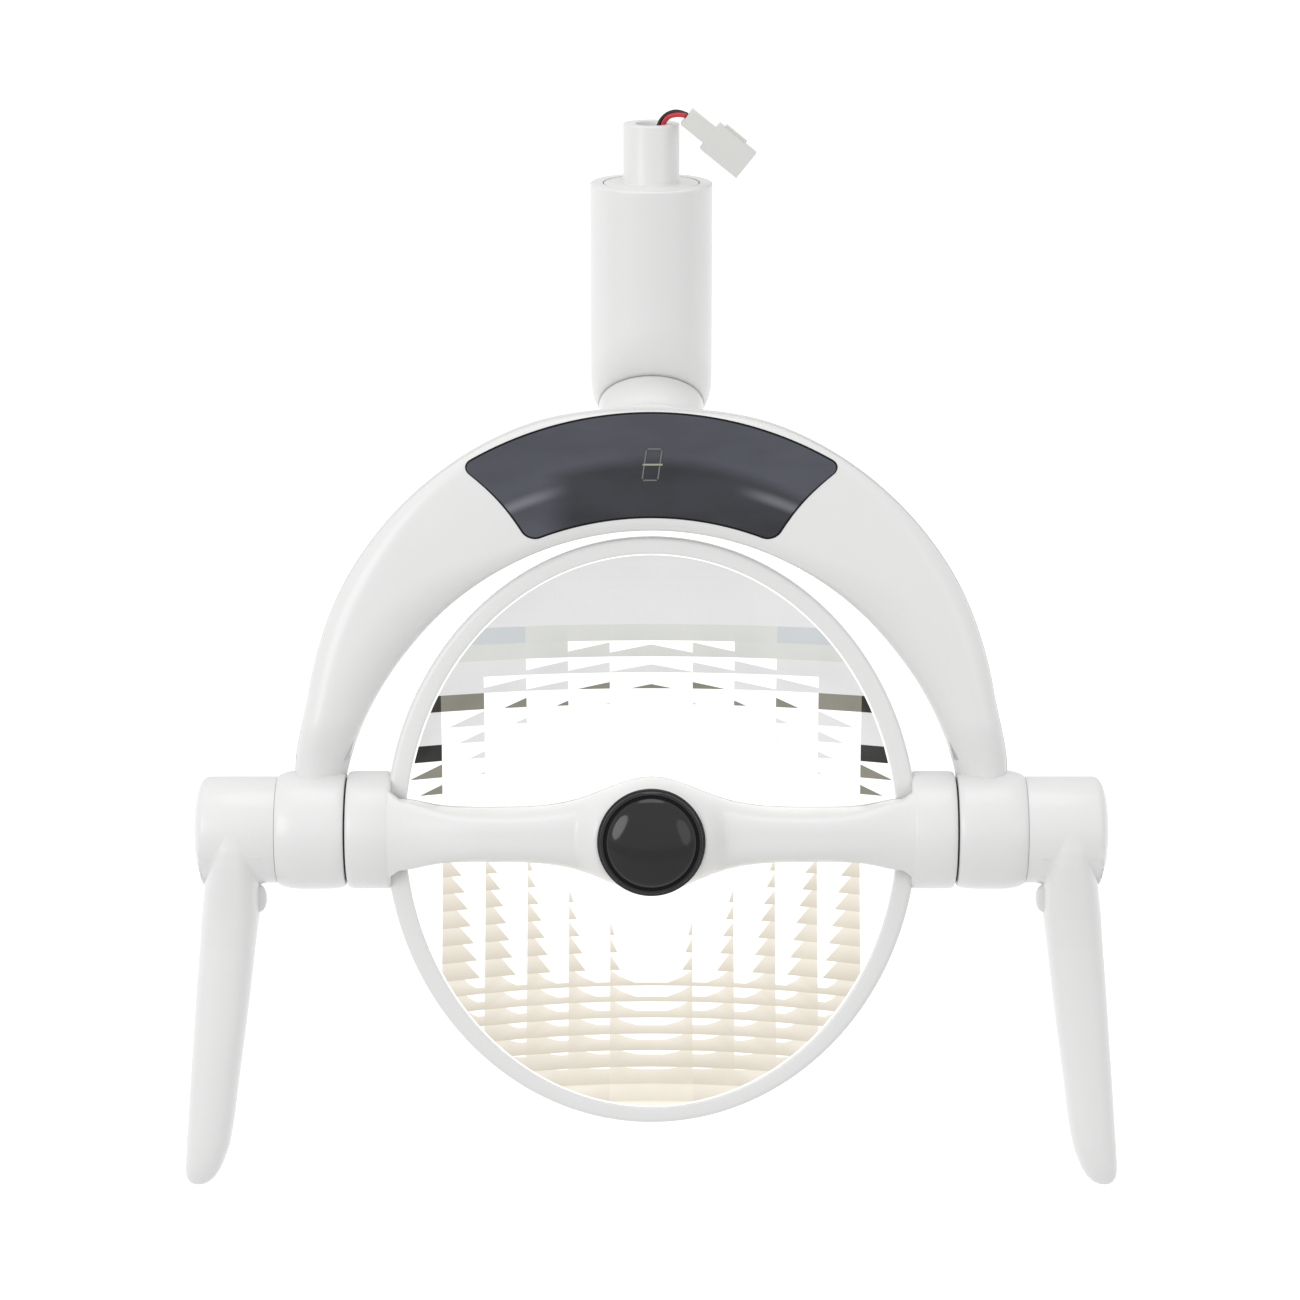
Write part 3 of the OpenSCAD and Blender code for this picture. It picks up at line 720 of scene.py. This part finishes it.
def build_yoke_rear():
    back = formed("yoke_rear", 220, 40, rear_arch_skin)
    closed_up(back)
    sleeve = formed("yoke_sleeve", 96, 40, sleeve_skin)
    closed_up(sleeve)
    whole = joined("yoke_rear", back, sleeve)
    put(whole, LEAN_IN)
    fit(whole, "yoke", "white_plastic", "yoke_rear_cover", angle=50)


# ---- the smoked window and its digit ----

def window_point(along, up, grow):
    """A place on the window: along from -1 to 1, up from 0 to 1, its outline grown by grow."""
    height = 39.0 + 2 * grow
    centre = 1.1 + (21.8 - 1.1) * up
    r = 122 + (141 - 122) * up + grow * (2 * up - 1)
    side_x = 46.8 + (72.6 - 46.8) * up + grow - 2.4 * math.sin(math.pi * up)
    side_z = 113.2 + (141.3 - 113.2) * up
    half = math.atan2(side_x, side_z - centre)
    corner = 4.6 + grow
    from_end = min(up, 1 - up) * height
    if from_end < corner:
        half -= (corner - math.sqrt(max(corner ** 2 - (corner - from_end) ** 2, 0))) / r
    a = half * along
    return r * math.sin(a), centre + r * math.cos(a)


def eased_ends(v):
    """Rows closer together at both ends, where the corners turn."""
    return 0.5 - 0.5 * math.cos(math.pi * v)


def window_skin(grow, stand_out):
    def skin(u, v):
        x, z = window_point(2 * eased_ends(u) - 1, eased_ends(v), grow)
        return (x, -arch_depth(x, z) - stand_out, z)
    return skin


def build_window():
    rim = formed("window_gasket", 120, 40, window_skin(0.5, 0.12))
    modify(rim, "SOLIDIFY", thickness=0.6 * MM, offset=-1)
    put(rim, LEAN_IN)
    fit(rim, "yoke", "dark_rubber", finish=GASKET_BLACK)
    pane = formed("smoked_window", 160, 56, window_skin(-0.25, 0.28))
    modify(pane, "SOLIDIFY", thickness=1.2 * MM, offset=-1)
    rounded(pane, 0.2, 2, 50)
    put(pane, LEAN_IN)
    fit(pane, "yoke", "smoked_window", "control_window", angle=50)


SEGMENTS = {
    "top": ((-2.6, 6.0), (2.6, 6.0)), "middle": ((-3.6, 0.0), (4.0, 0.0)),
    "bottom": ((-2.6, -6.0), (2.6, -6.0)), "upper_left": ((-3.0, 0.5), (-3.0, 5.5)),
    "upper_right": ((3.0, 0.5), (3.0, 5.5)), "lower_left": ((-3.0, -5.5), (-3.0, -0.5)),
    "lower_right": ((3.0, -5.5), (3.0, -0.5)),
}


DIGIT_X = 0.3
DIGIT_UP = 143.2
DIGIT_SLANT = 0.14


def build_digit():
    """One plain seven-segment figure eight behind the window, every bar slanted a little."""
    bars = []
    for name, (start, end) in SEGMENTS.items():
        half = 0.34 if name == "middle" else 0.26
        level = abs(end[0] - start[0]) > abs(end[1] - start[1])
        grow = (0, half) if level else (half, 0)
        corners = [(start[0] - grow[0], start[1] - grow[1]), (end[0] - grow[0], end[1] - grow[1]),
                   (end[0] + grow[0], end[1] + grow[1]), (start[0] + grow[0], start[1] + grow[1])]
        outline = [(DIGIT_X + x + DIGIT_SLANT * z, DIGIT_UP + z) for x, z in corners]
        bars.append(plate("bar_" + name, outline, -16.05, -15.0))
    middle = bars.pop(1)
    digit = joined("digit_segments", *bars)
    for piece, finish in ((digit, SEGMENT_GREY), (middle, SEGMENT_LIT)):
        put(piece, LEAN_IN)
        fit(piece, "yoke", "display_black", "digit_display", finish=finish)


# ---- the head ----

RING_W = 103.4
RING_H = 114.7
# The bezel's band is wider at the sides than at the top, by this share.
SIDE_BAND = 1.25


def ring_piece(name, profile, steps=180):
    """A closed oval ring from a closed section of (set in from the edge, place along Y)."""
    count = len(profile)

    def skin(u, v):
        turn = 2 * math.pi * u
        inset, y = profile[int(v * count + 0.5) % count]
        return ((RING_W - SIDE_BAND * inset) * math.cos(turn), y,
                (RING_H - inset) * math.sin(turn))
    return formed(name, steps, count, skin)


def build_bezel():
    profile = [(6.3, 0.8), (6.3, -8.2), (6.2, -8.6), (5.9, -8.85), (5.4, -8.95), (4.0, -9.0),
               (2.0, -8.95), (1.2, -8.8), (0.5, -8.3), (0.15, -7.6), (0.0, -6.4), (0.0, 0.9),
               (2.0, 0.9)]
    ring = ring_piece("bezel", profile)
    put(ring, LEAN_IN)
    fit(ring, "head", "white_plastic", "bezel_ring", angle=45)


def bowl_y(x, z):
    """Depth of the mirror bowl at a place."""
    share = (x / (RING_W - 4.6)) ** 2 + (z / (RING_H - 4.9)) ** 2
    return -6.2 + 40 * (1 - min(share, 1.0))


COLUMN = 16.35
COLUMNS = 6
ROWS = [79.3 - 6.6 * i for i in range(22)] + [-59.3 - 5.9 * i for i in range(1, 10)]
UPPER_ROWS = 13
FIRST_LOW_ROW = 14
TOOTH_ROWS = 7
FULL_FACET = [(0, 0), (1, 0), (1, 1), (0, 1)]
# The row, counted from the top, where each column's wedge has shrunk to half of its facet.
HALF_WEDGE_ROW = (2.0, 2.6, 3.2, 4.3, 6.6, 9.2)
RIM_STEPS = 120
RIM_TURNS = [2 * math.pi * i / RIM_STEPS for i in range(RIM_STEPS)]
MIRROR_RIM = [((RING_W - 5.2) * math.cos(turn), (RING_H - 5.4) * math.sin(turn))
              for turn in RIM_TURNS]
# A bright painted highlight runs round the mirror, just inside the bezel, standing for the lit inner
# wall of the bezel's lip.
HIGHLIGHT_INSETS = (5.2, 6.8)
HIGHLIGHT_Y = -7.6
# The mirror's plain crown above its facets, in squares of painted grey reflection.
SQUARE = 4.0
CROWN_ACROSS = 25
CROWN_UP = 8
# How far a turned-away facet stands in front of the bowl at its foot.
FACET_STEP = 0.8
# Each facet shade is a painted reflection: its colour and the strength of its painted glow. The
# greys colour the turned-away wedges with painted shade.
WHITE = ((0.98, 0.98, 0.955), 1.0)
GREY = ((0.73, 0.73, 0.735), 0.8)
BLUE_GREY = ((0.575, 0.605, 0.62), 0.8)
GREEN_GREY = ((0.66, 0.67, 0.64), 0.8)
# painted shade: the dark olive wedges
OLIVE = ((0.30, 0.29, 0.24), 0.6)
# painted shadow: the near-black wedges of a few facets
PAINTED_SHADOW = ((0.045, 0.045, 0.042), 0.3)
CREAM = ((0.83, 0.78, 0.685), 0.85)
# painted shade: the darker foot of each cream tooth
TAN = ((0.65, 0.60, 0.505), 0.85)


def wedge_shade(column, row):
    """The painted shade of an upper facet's turned-away wedge: dark in a few rows near the rim."""
    if column == 5 and row in (4, 7):
        return PAINTED_SHADOW
    if (row == 4 and column > 1) or (column == 5 and row > 7) or (row == 3 and column < 2):
        return OLIVE
    if row < 2:
        return BLUE_GREY if row == 0 and column > 2 else GREEN_GREY
    return GREY


def upper_facet(column, row):
    """One facet above the middle, as (outline, shade): across runs outwards, up from its foot."""
    share = 0.5 - 0.24 * (row - HALF_WEDGE_ROW[column])
    shade = wedge_shade(column, row)
    if share > 0.96:
        return [(FULL_FACET, shade)]
    if share < 0.04:
        return [(FULL_FACET, WHITE)]
    reach = min(share * (2.0 if row < 4 else 0.95), 1)
    outer = max(share - 0.5, 0) * 0.8
    wedge = [(0, 0), (reach, 0), (0, share)]
    rest = [(0, share), (reach, 0), (1, 0), (1, 1), (0, 1)]
    if reach == 1:
        wedge = [(0, 0), (1, 0), (1, outer + 0.05), (0, share)]
        rest = [(0, share), (1, outer + 0.05), (1, 1), (0, 1)]
    return [(wedge, shade), (rest, WHITE)]


def lower_facet(column, row):
    """One facet below the middle, in painted reflection: a cream tooth from its outer side, or a
    bright lens of painted highlight in cream.
    """
    n = row - FIRST_LOW_ROW
    if column == COLUMNS - 1:
        return [(FULL_FACET, WHITE)]
    if n < TOOTH_ROWS:
        tip = min(0.16 * column - 0.2 + 0.075 * n, 1)
        if tip < 0.04:
            return [(FULL_FACET, WHITE)]
        apex = max(0.9 * tip - 0.27, 0)
        tooth = [(1 - tip, 0), (1, 0), (1, 1), (1 - apex, 1)]
        rest = [(0, 0), (1 - tip, 0), (1 - apex, 1), (0, 1)]
        if not apex:
            tooth = [(1 - tip, 0), (1, 0), (1, 0.85)]
            rest = [(0, 0), (1 - tip, 0), (1, 0.85), (1, 1), (0, 1)]
        return [(tooth, CREAM), (rest, WHITE)]
    start = min(0.05 + 0.13 * column + 0.05 * (n - 8), 1)
    deep = 0.72 - 0.11 * (n - 8) - 0.05 * column
    if deep < 0.06 or start > 0.92:
        return [(FULL_FACET, CREAM)]
    a = 1 - start
    b = a * 0.75
    c = a * 0.4
    # painted highlight: the bright lens shape in the cream facet
    lens = [(0, 1 - deep), (c, 1 - deep), (b, 1 - 0.55 * deep), (a, 1), (0, 1)]
    rest = [(0, 0), (1, 0), (1, 1), (a, 1), (b, 1 - 0.55 * deep), (c, 1 - deep), (0, 1 - deep)]
    return [(lens, WHITE), (rest, CREAM)]


def trimmed(outline):
    """The part of an outline that lies inside the mirror's oval rim."""
    for (ax, az), (bx, bz) in zip(MIRROR_RIM, MIRROR_RIM[1:] + MIRROR_RIM[:1]):
        kept = []
        for i, (x, z) in enumerate(outline):
            px, pz = outline[i - 1]
            here = (bx - ax) * (z - az) - (bz - az) * (x - ax)
            before = (bx - ax) * (pz - az) - (bz - az) * (px - ax)
            if (here > 0) != (before > 0):
                t = before / (before - here)
                kept.append((px + (x - px) * t, pz + (z - pz) * t))
            if here >= 0:
                kept.append((x, z))
        outline = kept
        if len(outline) < 3:
            return []
    return outline


def mirror_faces():
    """Every facet face as corners (x, y, z), its painted reflection colour and its painted glow."""
    faces = []

    def add(outline, shade, lift, foot, head):
        colour, painted_glow = shade
        corners = []
        for x, z in trimmed(outline):
            up = (z - foot) / (head - foot)
            tone = colour
            # painted shade: a cream facet darkens towards TAN at its foot
            if shade is CREAM:
                tone = tuple(a + (b - a) * min(up * 1.6, 1) for a, b in zip(TAN[0], colour))
            corners.append(((x, bowl_y(x, z) + lift * (1 - up), z), tone, painted_glow))
        if len(corners) > 2:
            faces.append(corners)

    for side in (-1, 1):
        for column in range(COLUMNS):
            for row, (head, foot) in enumerate(zip(ROWS, ROWS[1:])):
                parts = upper_facet(column, row) if row < UPPER_ROWS else lower_facet(column, row)
                for outline, shade in parts:
                    placed = [(side * COLUMN * (column + a), foot + (head - foot) * b)
                              for a, b in outline]
                    add(placed, shade, 0.0 if shade is WHITE else -FACET_STEP, foot, head)
    # painted highlight: a glowing white strip just inside the bezel
    outside, inside = HIGHLIGHT_INSETS
    for here, ahead in zip(RIM_TURNS, RIM_TURNS[1:] + RIM_TURNS[:1]):
        ring = []
        for turn, inset in ((here, outside), (ahead, outside), (ahead, inside), (here, inside)):
            ring.append(((RING_W - SIDE_BAND * inset) * math.cos(turn), HIGHLIGHT_Y,
                         (RING_H - inset) * math.sin(turn)))
        faces.append([(place, *WHITE) for place in ring])
    for i in range(-CROWN_ACROSS, CROWN_ACROSS):
        for j in range(CROWN_UP):
            x = i * SQUARE
            z = ROWS[0] + j * SQUARE
            square = [(x + a * SQUARE, z + b * SQUARE) for a, b in FULL_FACET]
            add(square, GREY, 0.0, z, z + SQUARE)
    return faces


def build_reflector():
    """The mirror: a bowl cut into small facets, each with a wedge that is turned away."""
    bowl = bpy.data.meshes.new("mirror_bowl")
    maker = bmesh.new()
    # painted light: each corner keeps its painted reflection colour and its painted glow
    tone = maker.loops.layers.float_color.new("tone")
    painted_glow = maker.loops.layers.float_color.new("painted_glow")
    for corners in mirror_faces():
        made = maker.faces.new([maker.verts.new(Vector(place) * MM) for place, _, _ in corners])
        for loop, (_, colour, level) in zip(made.loops, corners):
            loop[tone] = (*colour, 1)
            loop[painted_glow] = (*(level * part for part in colour), 1)
        made.normal_update()
        if made.normal.y > 0:
            made.normal_flip()
    maker.to_mesh(bowl)
    maker.free()
    piece = bpy.data.objects.new("mirror_bowl", bowl)
    bpy.context.collection.objects.link(piece)
    return piece


def build_mirror():
    bowl = build_reflector()
    put(bowl, LEAN_IN)
    fit(bowl, "head", "mirror", "reflector", angle=5)

    def back(u, v):
        turn = 2 * math.pi * u
        x = (RING_W - 4.7) * v * math.cos(turn)
        z = (RING_H - 5.0) * v * math.sin(turn)
        return (x, bowl_y(x, z) + 0.9, z)
    shell = formed("mirror_back", 96, 24, back)
    modify(shell, "SOLIDIFY", thickness=0.8 * MM, offset=1)
    put(shell, LEAN_IN)
    fit(shell, "head", "white_plastic", angle=40)


BRIDGE_END = 103.5
BARREL_R = 22.8


def bridge_half(x):
    """Half height of the bridge at a distance from its middle."""
    x = abs(x)
    end = 4.0 * blend_between(x, 96.5, BRIDGE_END)
    return 10.4 + 11.9 * math.exp(-(x / 25) ** 2) + 3.4 * math.exp(-((x - 98) / 13) ** 2) + end


def bridge_skin(u, v):
    """The bridge's moulded bar: v goes round its section, from the back's foot over the front."""
    x = BRIDGE_END * (2 * u - 1)
    half = bridge_half(x)
    turn = math.pi * v
    up = half * math.cos(turn)
    share = max(1 - abs(math.cos(turn)) ** 3.4, 0) ** (1 / 2.3)
    from_middle = math.hypot(x, up)
    boss = 7.0 * (1 - blend_between(from_middle, 20.9, 30.0))
    front = -13 - (14 + boss) * share
    barrel = -math.sqrt(BARREL_R ** 2 - up ** 2) if abs(up) < 22 else -6.0
    return (x, front + (max(barrel, front) - front) * blend_between(abs(x), 64, 101), up)


def build_bridge():
    bar = formed("bridge", 240, 60, bridge_skin)
    closed_up(bar)
    barrel = [(0.5, 101.3), (21.0, 101.3), (22.0, 101.5), (22.6, 102.0), (22.85, 103.0),
              (22.85, 115.4), (22.7, 116.6), (22.2, 117.6), (21.3, 118.15), (0.5, 118.2)]
    right = half_bar("barrel_right", barrel, True)
    left = mirrored_copy(right, "barrel_left")
    whole = joined("bridge", bar, right, left)
    put(whole, LEAN_IN)
    fit(whole, "head", "white_plastic", "bridge_cover", angle=50)


def build_cap():
    trim = turned("cap_trim", [(16.8, -34), (20.3, -34), (20.7, -34.3), (20.7, -35.0),
                               (20.4, -35.3), (16.8, -35.3)], axis="Y")
    put(trim, LEAN_IN)
    fit(trim, "head", "black_gloss", "cap_trim_ring")
    profile = [(0.02, -34.6), (19.8, -34.6), (19.8, -36.2), (19.6, -36.7), (19.1, -37.05),
               (18.5, -37.1), (18.2, -36.9), (18.0, -36.6), (17.8, -36.5), (17.5, -36.7),
               (17.2, -37.3), (16.7, -38.0), (15.4, -38.9), (13.4, -39.75), (10.8, -40.5),
               (7.6, -41.0), (4.0, -41.32), (1.5, -41.4), (0.02, -41.4)]
    cap = turned("sensor_cap", profile, axis="Y", steps=128)
    put(cap, LEAN_IN)
    fit(cap, "head", "black_gloss", "sensor_cap", angle=30)


def housing_skin(u, v):
    """The rear housing's dome, with a shallow step ring part of the way in."""
    turn = 2 * math.pi * u
    a = math.pi / 2 * v
    r = math.cos(a)
    y = 1 + 46 * math.sin(a)
    step = 0.8 * (blend_between(r, 0.60, 0.615) - 1)
    return ((RING_W - 0.6) * r * math.cos(turn), y - step - 0.8, (RING_H - 0.6) * r * math.sin(turn))


def build_housing():
    dome = formed("rear_housing", 160, 90, housing_skin)
    modify(dome, "SOLIDIFY", thickness=2.4 * MM, offset=-1)
    barrel = [(0.5, 101.0), (21.4, 101.0), (22.6, 101.5), (23.1, 102.6), (23.1, 115.6),
              (22.8, 117.2), (22.2, 117.9), (21.3, 118.2), (0.5, 118.2)]
    right = half_bar("rear_barrel_right", barrel, False)
    left = mirrored_copy(right, "rear_barrel_left")
    whole = joined("rear_housing", dome, right, left)
    put(whole, LEAN_IN)
    fit(whole, "head", "white_plastic", "rear_housing", angle=50)


# ---- hubs, grips and release buttons ----

HUB_R = 20.8


def build_hub():
    """The turned hub with its domed end cap."""
    profile = [(0.02, 145.62), (20.4, 145.62), (20.7, 145.7), (20.8, 145.95), (20.8, 172.4),
               (20.5, 173.5), (19.6, 174.7), (17.9, 175.7), (14.8, 176.7), (11.0, 177.3),
               (5.7, 177.75), (0.02, 177.9)]
    return turned("hub_right", profile, axis="X", steps=112)


def oval_gap(x, y, half_x, half_y, power):
    """Rough distance of a place from a grip section's edge."""
    share = (abs(x / half_x) ** power + abs(y / half_y) ** power) ** (1 / power)
    return (share - 1) * min(half_x, half_y)


GRIP_STOPS = [
    # drop below the axis, inner side, outer side, half depth
    (-6, 158.4, 165.4, 17.2), (0, 156.4, 167.8, 18.2), (6, 154.6, 170.0, 18.3),
    (12, 153.4, 171.8, 17.4), (21, 152.9, 174.0, 15.0), (33, 152.9, 175.5, 12.2),
    (45, 154.5, 176.4, 10.6),
    (65, 156.9, 178.1, 9.6), (80, 158.9, 179.2, 9.3), (97, 161.3, 180.5, 9.0),
    (112, 163.2, 181.6, 8.8), (118, 164.2, 182.0, 8.6), (124, 165.3, 182.5, 8.3),
    (130, 167.4, 182.9, 7.5), (134, 169.2, 183.1, 6.5), (137, 171.2, 182.8, 5.2),
    (139, 173.4, 181.7, 3.6), (140, 175.4, 180.3, 2.2), (140.35, 177.4, 178.8, 0.8),
]


def grip_section(drop):
    """Middle, half width and half depth of the grip at a drop below the tilt axis."""
    for low, high in zip(GRIP_STOPS, GRIP_STOPS[1:]):
        if drop <= high[0]:
            break
    t = min(max((drop - low[0]) / (high[0] - low[0]), 0), 1)
    inner, outer, deep = (low[i] + (high[i] - low[i]) * t for i in (1, 2, 3))
    return (inner + outer) / 2, (outer - inner) / 2, deep


GRIP_TOP = -2.0
GRIP_TIP = 140.35
TIP_FROM = 118.0
TIP_SHARE = 0.2
CLEAR_OF_HUB = 45
GRIP_Y = -3
SOFT = 0.6


def grip_skin(u, v):
    """The grip from its rounded tip up to the hub, melting into the hub's round side."""
    c = math.cos(2 * math.pi * u)
    s = math.sin(2 * math.pi * u)
    if v < TIP_SHARE:
        drop = GRIP_TIP - (GRIP_TIP - TIP_FROM) * (1 - math.cos(math.pi / 2 * v / TIP_SHARE))
    else:
        drop = TIP_FROM + (GRIP_TOP - TIP_FROM) * (v - TIP_SHARE) / (1 - TIP_SHARE)
    middle, half_x, half_y = grip_section(drop)
    z = -drop
    power = 3.2 - 0.9 * blend_between(drop, 8, CLEAR_OF_HUB)
    if drop > CLEAR_OF_HUB:
        reach = 1 / (abs(c / half_x) ** power + abs(s / half_y) ** power) ** (1 / power)
        return (middle + reach * c, GRIP_Y + reach * s, z)
    low = 0.0
    high = 60.0
    for _ in range(26):
        t = 0.5 * (low + high)
        x = middle + t * c
        y = GRIP_Y + t * s
        grip = oval_gap(t * c, t * s, half_x, half_y, power)
        hub = max(math.hypot(y, z) - HUB_R, x - 175.0, 149.4 - x)
        h = max(SOFT - abs(grip - hub), 0) / SOFT
        if min(grip, hub) - h * h * SOFT / 4 < 0:
            low = t
        else:
            high = t
    sink = 0.35 * (1 - blend_between(drop, -3, 9))
    return (middle + (low - sink) * c, GRIP_Y + (low - sink) * s, z)


def build_grips():
    hub = build_hub()
    grip = formed("grip_right", 96, 150, grip_skin)
    closed_up(grip)
    other_hub = mirrored_copy(hub, "hub_left")
    other_grip = mirrored_copy(grip, "grip_left")
    for side, one, two in (("right", hub, grip), ("left", other_hub, other_grip)):
        put(one, LEAN_IN)
        put(two, LEAN_IN)
        fit(one, "head", "white_plastic", side + "_hub", side + "_hub_cap")
        fit(two, "head", "white_plastic", side + "_grip", angle=60)


def build_buttons():
    """A low rounded bump that slides into the top of each grip's inner side."""
    outline = [(154.6, -21.0), (153.2, -21.1), (151.9, -21.7), (150.9, -22.8), (150.25, -24.3),
               (150.0, -26.2), (150.05, -28.2), (150.5, -30.0), (151.3, -31.2), (152.4, -31.9),
               (154.6, -32.1)]
    right = plate("button_right", outline, -5.6, -0.4)
    rounded(right, 1.2, 4, 60)
    left = mirrored_copy(right, "button_left")
    for side, button in (("right", right), ("left", left)):
        put(button, LEAN_IN)
        fit(button, side + "_button", "white_plastic", side + "_release_button", angle=50)


# ---- room ----

def build_studio():
    """A large pale floor, a soft sky and three soft lamps."""
    bpy.ops.mesh.primitive_grid_add(x_subdivisions=4, y_subdivisions=4, size=60,
                                    location=(0, 0, -0.62))
    floor = bpy.context.object
    floor.name = "studio_floor"
    bpy.ops.object.transform_apply(location=True)
    finish = Finish("studio_floor", roughness=0.9)
    _, y, _ = finish.axes()
    far = y.ramp(-0.4, 0.25)
    finish.set("Base Color", finish.mix(far, (0.35, 0.35, 0.35), (0.5, 0.5, 0.5)))
    finish.set("Emission Color", finish.mix(far, (0.30, 0.30, 0.30), (0.80, 0.80, 0.80)))
    finish.set("Emission Strength", 1.0)
    dress(floor, finish.material)
    world = bpy.data.worlds.new("soft_sky")
    bpy.context.scene.world = world
    world.use_nodes = True
    sky = world.node_tree.nodes["Background"]
    sky.inputs["Color"].default_value = (1, 1, 1, 1)
    sky.inputs["Strength"].default_value = 0.77
    # Each lamp's place, its size and its power.
    lamps = ((-1.4, -1.5, 0.5, 1.2, 11.0), (1.2, -1.4, 0.2, 1.0, 2.0), (0.0, -0.1, 1.5, 1.2, 5.5))
    for x, y, z, size, power in lamps:
        bpy.ops.object.light_add(type="AREA", location=(x, y, z))
        lamp = bpy.context.object
        lamp.data.shape = "DISK"
        lamp.data.size = size
        lamp.data.energy = power
        aim = Vector((0, -0.05, -0.2)) - lamp.location
        lamp.rotation_euler = aim.to_track_quat("-Z", "Y").to_euler()
    bpy.context.scene.view_settings.view_transform = "Standard"
    bpy.context.scene.view_settings.look = "None"


build_spigot()
build_neck()
build_yoke_front()
build_yoke_rear()
build_window()
build_digit()
build_bezel()
build_mirror()
build_bridge()
build_cap()
build_housing()
build_grips()
build_buttons()
build_studio()

# Every CAD node takes the finish of its own slot.
for part in frame["record"]["subparts"]:
    for holder in frame["nodes"][part["node"]].material_slots:
        holder.material = FINISHES[part["material_slot"]]
